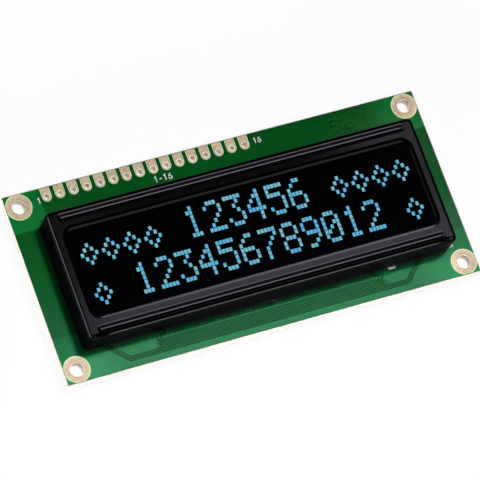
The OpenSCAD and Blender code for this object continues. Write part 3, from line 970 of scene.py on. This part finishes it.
def bundle_lanes(sizes):
    """The lanes of the bundle along the front strip, and the bar over them."""
    lanes = []
    for lane in range(LANE_COUNT):
        y = (lane_y(sizes, lane) + lane_y(sizes, lane + 1)) / 2
        if lane >= INNER_LANES:
            path = bent_lane(y)
        else:
            reach = BUNDLE_END + LANE_STEP * lane
            rise = 0.5 + 0.25 * lane
            path = [(-reach - rise, y + rise), (-reach, y), (reach, y), (reach + rise, y + rise)]
        lanes.append(ribbon(path, sizes.lane_pitch - sizes.lane_gap))
    lanes.append(ribbon([(-BUNDLE_END - 0.6, BAR_Y), (BUNDLE_END + 0.4, BAR_Y)], BAR_WIDTH))
    return lanes


def faint_tracks(sizes):
    """The single tracks of the front face, which hardly show through the mask."""
    paths = comb_paths(sizes) + header_paths() + upper_paths()
    return [ribbon(path, sizes.thin_track) for path in paths]


def comb_paths(sizes):
    """Fine cross tracks on the margins beside the bezel's ends."""
    left = (BOARD_LOW.x + COMB_INSET, BEZEL_LOW.x + HIDDEN)
    right = (BEZEL_HIGH.x - HIDDEN, BOARD_HIGH.x - COMB_INSET)
    steps = int((COMB_TOP - COMB_LOW) / sizes.comb_pitch)
    levels = [COMB_TOP - i * sizes.comb_pitch for i in range(steps + 1)]
    return [[(start, y), (end, y)] for y in levels for start, end in (left, right)]


def header_paths():
    """Slanting tracks from three of every four header pads in under the bezel."""
    found = []
    for number, (x, y) in enumerate(PIN_PLACES):
        if number % 4 < 3:
            start = Vector((x + 0.3, y - 0.7))
            fall = start.y - (BEZEL_HIGH.y - HIDDEN)
            found.append([tuple(start), (start.x + fall, start.y - fall)])
    return found


def upper_paths():
    """Long tracks along the upper right strip, on both sides of its group of vias."""
    found = []
    for i in range(TRACK_ROWS):
        y = GROUP_Y - 0.2 + ROW_PITCH * i
        near = GROUP_X + 0.2 + 0.5 * math.cos(i * 2.1)
        far = GROUP_X + GROUP_WIDTH + 0.5 * math.sin(i * 1.7)
        if i < NEAR_ROWS:
            found.append([(TRACKS_START, y), (near - 1, y), (near, y + ROW_PITCH)])
        found.append([(far, y), (TRACKS_END, y)])
    return found


def front_vias():
    """Places of the small vias on the front face."""
    numbers = [i for i in range(VIA_ROW_COUNT) if i % 8 not in LEFT_OUT]
    places = [(VIA_ROW_X + VIA_ROW_PITCH * i, VIA_ROW_Y - 0.12 * (i % 2)) for i in numbers]
    for lane in range(INNER_LANES):
        for side in (-1, 1):
            places.append((side * (BUNDLE_END + 0.9 + 0.6 * lane), VIA_ROW_Y - 0.25 - 0.12 * lane))
            places.append((side * (BUNDLE_END + 0.5 + 0.55 * lane), VIA_ROW_Y + 0.3 - 0.1 * lane))
    for row in range(GROUP_SIDE):
        for column in range(GROUP_SIDE):
            shift = 0.5 * scatter(row * GROUP_SIDE + column, 1.3)
            x = GROUP_X + 0.3 + column + 0.45 * (row % 2) + shift
            places.append((x, GROUP_Y + 0.1 + 0.95 * row + shift * 0.6))
    return places + LONE_VIAS


# Copper of the back face

# Fan of tracks from the header to the controller, links from there to the driver, and tracks that drop from
# both. They start and end under the caps, at a share of a cap's radius from its middle
FAN_Y = 9.4
FAN_PITCH = 0.8
FAN_LEVEL = 13.1
FAN_STEP = 0.3
LINK_COUNT = 12
LINK_PITCH = 0.6
LINK_SHARE = 0.7
DROP_Y = -10.2
DROP_PITCH = 0.62
DROP_SPREAD = 0.95
CAP_SHARE = 0.6
CONTROLLER_DROPS = 9
DRIVER_DROPS = 14

# Vias in a column at each end and in a row along the front
END_VIA_X = 38.9
END_VIA_PITCH = 1.9
FOOT_VIA_Y = -16.6
FOOT_VIA_PITCH = 3.1

# Wide tracks of the supply
SUPPLY_WIDTH = 1.1
SUPPLY_PATHS = (
    [(24.4, 6.0), (24.4, 8.6), (30.0, 8.6), (30.0, 6.6)],
    [(30.0, 2.4), (30.0, -0.6)],
    [(30.6, -2.8), (32.4, -4.6), (32.4, -6.4)],
    [(24.4, -3.0), (24.4, -6.4), (27.6, -6.4)],
    [(19.2, 1.6), (22.2, 1.6), (24.4, 2.6)],
    [(-28.0, 0.9), (-28.0, -0.9)],
    [(-28.0, 4.6), (-26.0, 6.6), (-22.4, 6.6), (-20.0, 7.6)],
    [(4.5, 9.8), (4.5, 11.4), (8.5, 11.4), (8.5, 9.8)],
    [(4.5, 6.6), (8.5, 6.6), (10.4, 4.7), (10.4, 3.0)],
)


def cap_circle(node):
    """Middle and radius of a round cap."""
    low, high = box_mm(node)
    return (low + high) / 2, (high.x - low.x) / 2


def back_pour():
    """The ground copper round three sides of the back face: its outline and its holes."""
    left = BOARD_LOW.x + EDGE_KEEP
    low = BOARD_LOW.y + EDGE_KEEP
    right = BOARD_HIGH.x - EDGE_KEEP
    high = BOARD_HIGH.y - EDGE_KEEP
    outline = [
        (left, low), (right, low), (right, high), (9.6, high), (9.6, 13.3), (33.4, 13.3), (33.4, -12.6),
        (31.6, -14.4), (-31.2, -14.4), (-33.0, -12.6), (-33.0, 11.5), (-34.6, 13.1), (-34.6, high),
        (left, high),
    ]
    return [outline, *[screw_opening(place) for place in SCREW_PLACES]]


def back_tracks(sizes):
    """The tracks of the back face, and the places of its vias."""
    paths = []
    vias = []
    controller, controller_r = cap_circle("controller_cap")
    driver, driver_r = cap_circle("driver_cap")
    for i, (x, y) in enumerate(PIN_PLACES):
        end = controller.x + (i - (PIN_COUNT - 1) / 2) * FAN_PITCH
        level = FAN_LEVEL + FAN_STEP * min(i, PIN_COUNT - 1 - i)
        path = [(x, y - 0.6), (x, min(level, FAN_Y + abs(end - x)))]
        if abs(end - x) > level - FAN_Y:
            path.append((end - math.copysign(level - FAN_Y, end - x), level))
        paths.append([*path, (end, FAN_Y), (end, controller.y + controller_r * CAP_SHARE)])
    for i in range(LINK_COUNT):
        y = controller.y + (i - (LINK_COUNT - 1) / 2) * LINK_PITCH
        paths.append([(controller.x + controller_r * LINK_SHARE, y), (driver.x - driver_r * LINK_SHARE, y)])
    for middle, radius, count in (
        (controller, controller_r, CONTROLLER_DROPS),
        (driver, driver_r, DRIVER_DROPS),
    ):
        for i in range(count):
            share = i - (count - 1) / 2
            start = middle.x + share * DROP_PITCH
            end = middle.x + share * DROP_SPREAD
            bend = (start, DROP_Y + abs(end - start))
            paths.append([(start, middle.y - radius * CAP_SHARE), bend, (end, DROP_Y)])
            vias.append((end, DROP_Y - 0.2))
    vias += [(side * END_VIA_X, END_VIA_PITCH * row) for side in (-1, 1) for row in range(-5, 6)]
    vias += [(FOOT_VIA_PITCH * column, FOOT_VIA_Y) for column in range(-10, 11)]
    tracks = [ribbon(path, SUPPLY_WIDTH) for path in SUPPLY_PATHS]
    return tracks + [ribbon(path, sizes.thin_track) for path in paths], vias


# What lies on a face of the board: side is 1 on the front and -1 on the back


def face_z(side):
    return BOARD_HIGH.z if side > 0 else BOARD_LOW.z


def lay_plates(name, side, plates, rise, finish):
    """Lays flat plates on a face, each an outline and its holes."""
    base = face_z(side)
    low, high = sorted((base, base + side * rise))
    solid = Solid()
    for loops in plates:
        solid.plate(loops, low, high)
    solid.piece(name, finish, "board_laminate")


def lay_vias(name, side, places, sizes, finish):
    """Sets vias on a face, each a low ring with a sunk middle under the mask."""
    base = face_z(side)
    radius = sizes.via_r
    rise = side * sizes.foil
    profile = [
        (radius, base),
        (radius * 0.9, base + rise * 1.2),
        (radius * 0.56, base + rise * 1.4),
        (radius * 0.4, base),
    ]
    solid = Solid()
    for place in places:
        solid.turned(place, profile[::side], VIA_SEGMENTS)
    solid.piece(name, finish, "board_laminate", smooth=True)


# Plated holes, solder beads and the foam

BARREL_WALL = 0.03
BARREL_SEGMENTS = 48
LIP_RISE = 0.035
BEAD_RISE = 0.3
FOAM_LAYERS = 8
FOAM_BULGE = 0.5
FOAM_CORNER = 1.2


def barrel_profile(radius, lip):
    """Section of a plated hole: a thin wall with a rounded lip on each face."""
    half = (lip + BARREL_WALL) / 2
    top = [(radius + lip, LAND_TOP - 0.01)]
    for x, y in arc((0, 0), 1.0, 20, 180, 6):
        top.append((radius - BARREL_WALL + half + half * x, LAND_TOP + LIP_RISE * y))
    bottom = [(r, 2 * BOARD_MIDDLE_Z - z) for r, z in top]
    return top + bottom[::-1]


# Dot patterns of the characters, seven lines of five dots, and none for a space

GLYPHS = {
    "0": ".###. #...# #..## #.#.# ##..# #...# .###.",
    "1": "..#.. .##.. ..#.. ..#.. ..#.. ..#.. .###.",
    "2": ".###. #...# ....# ...#. ..#.. .#... #####",
    "3": "##### ...#. ..#.. ...#. ....# #...# .###.",
    "4": "...#. ..##. .#.#. #..#. ##### ...#. ...#.",
    "5": "##### #.... ####. ....# ....# #...# .###.",
    "6": "..##. .#... #.... ####. #...# #...# .###.",
    "7": "##### ....# ...#. ..#.. .#... .#... .#...",
    "8": ".###. #...# #...# .###. #...# #...# .###.",
    "9": ".###. #...# #...# .#### ....# ...#. .##..",
    "*": "..... ..... ..#.. .#.#. #...# .#.#. ..#..",
    " ": "",
}
CELL_COLUMNS = 6
ROW_LINES = 9
FIRST_LINE = 5.85
DOT_RISE = 0.02


def dot_places(look, dots):
    """Centres of all dots that are lit."""
    columns = max(len(look.row_1), len(look.row_2)) * CELL_COLUMNS - 2
    first = (FILM_LOW.x + FILM_HIGH.x) / 2 - columns * dots.pitch_x / 2
    found = []
    for row, text in enumerate((look.row_1, look.row_2)):
        for cell, letter in enumerate(text):
            for line, lit in enumerate(GLYPHS[letter].split()):
                y = FIRST_LINE - (row * ROW_LINES + line) * dots.pitch_y
                found += [
                    (first + (cell * CELL_COLUMNS + column) * dots.pitch_x, y)
                    for column, dot in enumerate(lit)
                    if dot == "#"
                ]
    return found


# Strokes of the printed figures, on a body one unit high, and the figures with their place and height

STROKES = {
    "1": [(0.12, 0.8), (0.34, 1.0), (0.34, 0.0)],
    "6": [(0.55, 0.98), (0.25, 0.8), (0.08, 0.45), *arc((0.34, 0.3), 0.28, 170, 530, 16)],
    "-": [(0.1, 0.45), (0.5, 0.45)],
}
PRINT_WIDTH = 0.19
PRINT_ADVANCE = 0.85
PRINT_RISE = 0.04
FRONT_FIGURES = (("1", -33.9, 15.2, 0.95), ("16", 7.9, 15.9, 0.95), ("1-16", -12.2, 13.5, 1.05))
BACK_FIGURES = (("1", -33.3, 15.2, 0.95), ("16", 9.2, 15.9, 0.95))

# Printed lines round the parts behind the board: their width, and how far they keep off them
BOX_LINE = 0.16
BOX_GAP = 0.55
CAP_GAP = 0.6
CAP_SEGMENTS = 96
BOXED = ("boost_inductor", "boost_regulator", "rectifier_diode", *[f"capacitor_{i}" for i in range(1, 7)])


def printed(figures, side):
    """Strokes of printed figures, each figure from its lower left corner as it is read."""
    found = []
    for text, x, y, height in figures:
        for number, letter in enumerate(text):
            start = x + side * number * PRINT_ADVANCE * height
            path = [(start + side * px * height, y + py * height) for px, py in STROKES[letter]]
            found.append(ribbon(path, PRINT_WIDTH))
    return found


def boxed(node):
    """The printed line round a part of the back face: its outer and its inner outline."""
    low, high = box_mm(node)
    return [
        rectangle(low.x - grow, low.y - grow, high.x + grow, high.y + grow)
        for grow in (BOX_GAP + BOX_LINE, BOX_GAP)
    ]


def ringed(node):
    """The printed line round a cap: its outer and its inner outline."""
    middle, radius = cap_circle(node)
    return [circle(middle, radius + grow, CAP_SEGMENTS) for grow in (CAP_GAP + BOX_LINE, CAP_GAP)]


# The stage, in metres

# The key light has a grid, with its spread in degrees, and is aimed at the front of the module, so that the
# light falls off behind
KEY_PLACE = (0.150, 0.095, 0.70)
KEY_SIZE = (0.16, 0.10)
KEY_AIM = (0.0, -0.12, 0.0)
KEY_SPREAD = 24.8

# Panels that only the gloss shows: name, place, size, tilt in degrees and share of the brightness
PANELS = (
    ("overhead_panel", (0.2245, 0.082, 0.60), (0.146, 0.15), (0, 0, 3), 2.95),
    ("bright_panel", (0.23, -0.085, 0.60), (0.26, 0.18), (0, 0, 3), 10.5),
    ("right_panel", (0.276, 0.181, 0.60), (0.024, 0.018), (0, 0, 0), 3.8),
    ("left_panel", (-0.60, 0.25, 0.70), (0.26, 1.0), (0, -42, 0), 9.0),
    ("corner_panel", (0.159, 0.174, 0.60), (0.016, 0.036), (0, 0, 0), 0.8),
    ("front_panel", (0.24, -0.255, 0.60), (0.26, 0.12), (0, 0, 3), 4.5),
)
PANEL_TINT = (0.86, 0.85, 1.0)

# Strips near the floor that light the cut edges of the board, listed alike
EDGE_LIGHTS = (
    ("front_strip", (0, -0.5, 0.012), (1.0, 0.024), (90, 0, 0), 1.0),
    ("left_strip", (-0.5, 0, 0.012), (0.024, 1.0), (0, -90, 0), 1.0),
)
WHITE = (1.0, 1.0, 1.0)

# Light from all round that reaches into the shadows
FILL = 0.18

FLOOR_REACH = 4.0
FLOOR_SHADE = (0.86, 0.86, 0.86)
CARD_REACH = 0.6
CARD_LIFT = 0.0005
CARD_SHADE = (0.005, 0.005, 0.005)
CAMERA_TARGET = (-0.000376, -0.000216, -0.000197)
SENSOR_WIDTH = 36


def ray_kinds(f):
    """1 for rays straight from the camera, for those of a reflection and for those through glass."""
    rays = f.add("ShaderNodeLightPath").socket.node.outputs
    return [Value(f, rays[name]) for name in ("Is Camera Ray", "Is Glossy Ray", "Is Transmission Ray")]


def matt(f, shade):
    """A shader without gloss."""
    return f.add("ShaderNodeBsdfDiffuse", None, {"Color": colour(shade)})


def add_sheet(name, corners, z, finish):
    """Adds a flat sheet of the stage."""
    points = [(x / MM, y / MM, z / MM) for x, y in corners]
    sheet = add_mesh(name, points, [tuple(range(len(points)))], finish)
    return sheet


def add_floor():
    """A wide pale floor under the module, white to the camera and with a soft shadow."""
    f = material("pale_floor")
    x, y, _ = f.xyz
    straight, mirrored, passed = ray_kinds(f)
    seen = straight.most(mirrored).most(passed)
    white = f.add("ShaderNodeEmission", None, {"Color": colour(WHITE), "Strength": 1.0})
    far = beyond(x, y, BOARD_HALF.x, BOARD_HALF.y).smooth(4.0, 40.0)
    finish = f.output(f.mixed(seen * (far * 0.05 + 0.94), matt(f, FLOOR_SHADE), white))
    corners = rectangle(-FLOOR_REACH, -FLOOR_REACH, FLOOR_REACH, FLOOR_REACH)
    add_sheet("floor", corners, CAD_BOX[0].z, finish)


def add_card():
    """A black card on the floor behind the module and on its right, which only reflections show."""
    f = material("black_card")
    reach = CARD_REACH
    x, y, _ = CAD_BOX[1]
    corners = [(-reach, y), (x, y), (x, -reach), (reach, -reach), (reach, reach), (-reach, reach)]
    card = add_sheet("black_card", corners, CAD_BOX[0].z + CARD_LIFT, f.output(matt(f, CARD_SHADE)))
    for kind in ("camera", "diffuse", "shadow", "transmission"):
        setattr(card, f"visible_{kind}", False)


def add_world(scene):
    """White all round, but reflections show white only low in front and on the left."""
    scene.world = bpy.data.worlds.new("studio")
    f = Finish(scene.world)
    x, y, up = f.parts(f.add("ShaderNodeTexCoord", out="Generated"))
    near = (x * -0.6 - y * 0.8).smooth(-0.1, 0.4)
    wall = near * (1.0 - up.smooth(0.3, 0.42))
    straight, mirrored, passed = ray_kinds(f)
    strength = straight.most(passed).most(mirrored * wall).most((1.0 - mirrored) * FILL)
    white = f.add("ShaderNodeBackground", None, {"Color": colour(WHITE), "Strength": strength})
    f.output(white, "ShaderNodeOutputWorld")


def add_softbox(name, place, size, power, tint=WHITE):
    """A soft light that shines straight down until it is turned."""
    lamp = bpy.data.lights.new(name, "AREA")
    lamp.shape = "RECTANGLE"
    lamp.size, lamp.size_y = size
    lamp.energy = power
    lamp.color = tint
    box = bpy.data.objects.new(name, lamp)
    box.location = place
    box.visible_camera = False
    bpy.context.scene.collection.objects.link(box)
    return box


def add_lights(look):
    """The key light, the panels for the gloss and the strips for the cut edges."""
    key = add_softbox("key", KEY_PLACE, KEY_SIZE, look.key)
    aim = Vector(KEY_AIM) - key.location
    key.rotation_euler = aim.to_track_quat("-Z", "Y").to_euler()
    key.data.spread = math.radians(KEY_SPREAD)
    key.visible_glossy = False
    for lights, brightness, tint, hidden in (
        (PANELS, look.panel, PANEL_TINT, "visible_diffuse"),
        (EDGE_LIGHTS, look.edge, WHITE, "visible_glossy"),
    ):
        for name, place, size, tilt, share in lights:
            box = add_softbox(name, place, size, share * brightness * math.pi * size[0] * size[1], tint)
            box.rotation_euler = [math.radians(angle) for angle in tilt]
            setattr(box, hidden, False)


def add_camera(scene, look):
    """The camera: aimed at a point near the board's middle and rolled about its own axis."""
    flat = math.cos(look.elevation)
    away = Vector((-flat * math.sin(look.heading), -flat * math.cos(look.heading), math.sin(look.elevation)))
    camera = bpy.data.objects.new("camera", bpy.data.cameras.new("camera"))
    camera.data.lens = look.lens
    camera.data.sensor_width = SENSOR_WIDTH
    camera.data.clip_start = 0.01
    camera.location = Vector(CAMERA_TARGET) + away * look.distance
    camera.rotation_mode = "QUATERNION"
    camera.rotation_quaternion = (-away).to_track_quat("-Z", "Y") @ Quaternion((0, 0, 1), look.roll)
    scene.collection.objects.link(camera)
    scene.camera = camera


# Operators


class ModuleOperator:
    """What the operators of this file share."""

    bl_options = {"REGISTER", "UNDO"}


class MODULE_OT_board(ModuleOperator, bpy.types.Operator):
    """Finish the board and its lands, and make its plated holes and solder beads"""

    bl_idname = "module.board"
    bl_label = "Board"

    def execute(self, context):
        look = context.scene.module_board
        tin = tin_finish(look)
        barrel = barrel_finish(look)
        dress(board_finish(look), "circuit_board")
        for name, node, from_hole, lip_r, rim_r in (
            ("land_plating", "mounting_lands", from_screw, SCREW_R + SCREW_LIP, LAND_RIM),
            ("pad_plating", "header_lands", from_pin, PIN_R + PIN_LIP, PAD_RIM),
        ):
            dress(plating_finish(look, name, from_hole, lip_r, rim_r), node)
        dress(tin, "tab_lands", "ground_lands", "chip_lands")
        for name, places, radius, lip in (
            ("screw_barrels", SCREW_PLACES, SCREW_R, SCREW_LIP),
            ("pin_barrels", PIN_PLACES, PIN_R, PIN_LIP),
        ):
            solid = Solid()
            for place in places:
                solid.turned(place, barrel_profile(radius, lip), BARREL_SEGMENTS)
            solid.piece(name, barrel, "plated_land", smooth=True)
        beads = Solid()
        for low, high in islands_mm("ground_lands"):
            beads.dome(low, high, BEAD_RISE)
        beads.piece("ground_beads", tin, "tinned_land", smooth=True)
        return {"FINISHED"}


class MODULE_OT_copper(ModuleOperator, bpy.types.Operator):
    """Lay the copper and the tracks under the mask of the front face"""

    bl_idname = "module.copper"
    bl_label = "Front copper"

    def execute(self, context):
        sizes = in_mm(context.scene.module_copper)
        look = context.scene.module_board
        for name, plates, height, *shares in (
            ("front_pours", front_pours(sizes), 1.0, 0.35, 0.95),
            ("upper_pours", upper_pours(), 1.0, 0.0, 0.85, UPPER_CORNER_Y),
            ("front_gaps", bundle_beds(sizes), 0.5, -0.42, -0.42, CORNER_Y, 0.0),
            ("front_lanes", bundle_lanes(sizes), 0.9, 0.16, 0.42),
            ("front_tracks", faint_tracks(sizes), 0.9, 0.1, 0.1),
        ):
            lay_plates(name, 1, plates, sizes.foil * height, copper_finish(look, name, *shares))
        return {"FINISHED"}


class MODULE_OT_vias(ModuleOperator, bpy.types.Operator):
    """Set the small vias of the front face"""

    bl_idname = "module.vias"
    bl_label = "Front vias"

    def execute(self, context):
        finish = copper_finish(context.scene.module_board, "vias", 0.3, 0.3)
        lay_vias("front_vias", 1, front_vias(), in_mm(context.scene.module_copper), finish)
        return {"FINISHED"}


class MODULE_OT_back_copper(ModuleOperator, bpy.types.Operator):
    """Lay the copper, the tracks and the vias under the mask of the back face"""

    bl_idname = "module.back_copper"
    bl_label = "Back copper"

    def execute(self, context):
        sizes = in_mm(context.scene.module_copper)
        look = context.scene.module_board
        tracks, vias = back_tracks(sizes)
        for name, plates, height, *shares in (
            ("back_pours", [back_pour()], 1.0, 0.35, 0.6),
            ("back_tracks", tracks, 0.9, 0.5, 0.5),
        ):
            lay_plates(name, -1, plates, sizes.foil * height, copper_finish(look, name, *shares))
        lay_vias("back_vias", -1, vias, sizes, copper_finish(look, "back_vias", 0.8, 0.8))
        return {"FINISHED"}


class MODULE_OT_print(ModuleOperator, bpy.types.Operator):
    """Print the plain numbers of the header row, and the lines round the parts behind the board"""

    bl_idname = "module.print"
    bl_label = "Print"

    def execute(self, context):
        finish = print_finish(context.scene.module_board)
        boxes = [boxed(node) for node in BOXED] + [ringed("controller_cap"), ringed("driver_cap")]
        lay_plates("board_print", 1, printed(FRONT_FIGURES, 1), PRINT_RISE, finish)
        lay_plates("back_print", -1, printed(BACK_FIGURES, -1) + boxes, PRINT_RISE, finish)
        return {"FINISHED"}


class MODULE_OT_bezel(ModuleOperator, bpy.types.Operator):
    """Paint the bezel"""

    bl_idname = "module.bezel"
    bl_label = "Bezel"

    def execute(self, context):
        dress(bezel_finish(), "bezel")
        return {"FINISHED"}


class MODULE_OT_display(ModuleOperator, bpy.types.Operator):
    """Finish the display's film, glass, seal, drying sheet and connector, and light its dots"""

    bl_idname = "module.display"
    bl_label = "Display"

    def execute(self, context):
        look = context.scene.module_display
        dots = in_mm(context.scene.module_dots)
        dress(film_finish(dots), "polariser")
        dress(glass_finish(), "front_glass", "sealing_glass")
        dress(grain_finish("seal_glue", (0.44, 0.40, 0.28), (0.60, 0.56, 0.42), 2.0, 0.4, 0.2), "edge_seal")
        sheet = grain_finish("drying_sheet", (0.66, 0.65, 0.6), (0.82, 0.81, 0.77), 4.0, 0.85, 0.5)
        dress(sheet, "desiccant_film")
        dress(flex_finish(), "flex_connector")
        half_w = dots.width / 2
        half_h = dots.height / 2
        solid = Solid()
        for x, y in dot_places(look, dots):
            tile = rectangle(x - half_w, y - half_h, x + half_w, y + half_h)
            solid.plate([tile], FILM_HIGH.z, FILM_HIGH.z + DOT_RISE)
        solid.piece("lit_dots", dot_finish(look), "display_film")
        return {"FINISHED"}


class MODULE_OT_foam(ModuleOperator, bpy.types.Operator):
    """Make the foam cushion behind the display, pressed flat and bulging at its sides"""

    bl_idname = "module.foam"
    bl_label = "Foam cushion"

    def execute(self, context):
        low, high = box_mm("foam_cushion")
        rings = []
        for layer in range(FOAM_LAYERS + 1):
            share = layer / FOAM_LAYERS
            outline = round_box(low, high, FOAM_BULGE * (2 * share - 1) ** 2, FOAM_CORNER)
            rings.append([(x, y, low.z + (high.z - low.z) * share) for x, y in outline])
        solid = Solid()
        solid.loft(rings)
        cushion = solid.piece("foam_pad", foam_finish(), "foam", smooth=True)
        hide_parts("foam_cushion")
        return {"FINISHED"}


class MODULE_OT_back(ModuleOperator, bpy.types.Operator):
    """Finish the parts behind the board"""

    bl_idname = "module.back"
    bl_label = "Parts behind the board"

    def execute(self, context):
        tin = tuple(context.scene.module_board.tin)
        epoxy = grain_finish("cast_epoxy", (0.006, 0.006, 0.008), (0.016, 0.016, 0.019), 1.2, 0.28, 0.25)
        ferrite = grain_finish("ferrite", (0.032, 0.032, 0.036), (0.075, 0.075, 0.08), 8.0, 0.62, 0.5)
        dress(epoxy, "controller_cap", "driver_cap")
        dress(ferrite, "boost_inductor")
        for name, node, axis, half in (
            ("regulator_body", "boost_regulator", 1, REGULATOR_HALF),
            ("diode_body", "rectifier_diode", 0, DIODE_HALF),
        ):
            dress(tinned_finish(name, node, axis, half, MOULDED, MOULDED_SHADES, tin), node)
        for node in frame["nodes"]:
            kind = node.split("_")[0]
            if kind in CHIP_SHADES:
                low, high = box_mm(node)
                half = (high.y - low.y) / 2 - CHIP_END
                dress(tinned_finish(f"{node}_body", node, 1, half, CERAMIC, CHIP_SHADES[kind], tin), node)
        return {"FINISHED"}


class MODULE_OT_stage(ModuleOperator, bpy.types.Operator):
    """Set up the floor, the light and the camera"""

    bl_idname = "module.stage"
    bl_label = "Stage"

    def execute(self, context):
        scene = context.scene
        scene.view_settings.view_transform = "Standard"
        add_floor()
        add_card()
        add_world(scene)
        add_lights(scene.module_stage)
        add_camera(scene, scene.module_stage)
        return {"FINISHED"}


STEPS = (
    MODULE_OT_board,
    MODULE_OT_copper,
    MODULE_OT_vias,
    MODULE_OT_back_copper,
    MODULE_OT_print,
    MODULE_OT_bezel,
    MODULE_OT_display,
    MODULE_OT_foam,
    MODULE_OT_back,
    MODULE_OT_stage,
)
GROUPS = {
    "module_board": BoardLook,
    "module_copper": CopperSizes,
    "module_display": DisplayLook,
    "module_dots": DotSizes,
    "module_stage": StageLook,
}


class MODULE_PT_panel(bpy.types.Panel):
    """Sizes and colours of the module, and the steps that dress it"""

    bl_idname = "MODULE_PT_panel"
    bl_label = "Character display module"
    bl_space_type = "VIEW_3D"
    bl_region_type = "UI"
    bl_category = "Display"

    def draw(self, context):
        for name, group in GROUPS.items():
            box = self.layout.box()
            box.label(text=group.__doc__)
            for key in group.__annotations__:
                box.prop(getattr(context.scene, name), key)
        for step in STEPS:
            self.layout.operator(step.bl_idname)


CLASSES = (*GROUPS.values(), *STEPS, MODULE_PT_panel)


def register():
    for item in CLASSES:
        bpy.utils.register_class(item)
    for name, group in GROUPS.items():
        setattr(bpy.types.Scene, name, bpy.props.PointerProperty(type=group))


def unregister():
    for name in GROUPS:
        delattr(bpy.types.Scene, name)
    for item in reversed(CLASSES):
        bpy.utils.unregister_class(item)


def main():
    register()
    for step in STEPS:
        family, name = step.bl_idname.split(".")
        getattr(getattr(bpy.ops, family), name)()


if __name__ == "__main__":
    main()
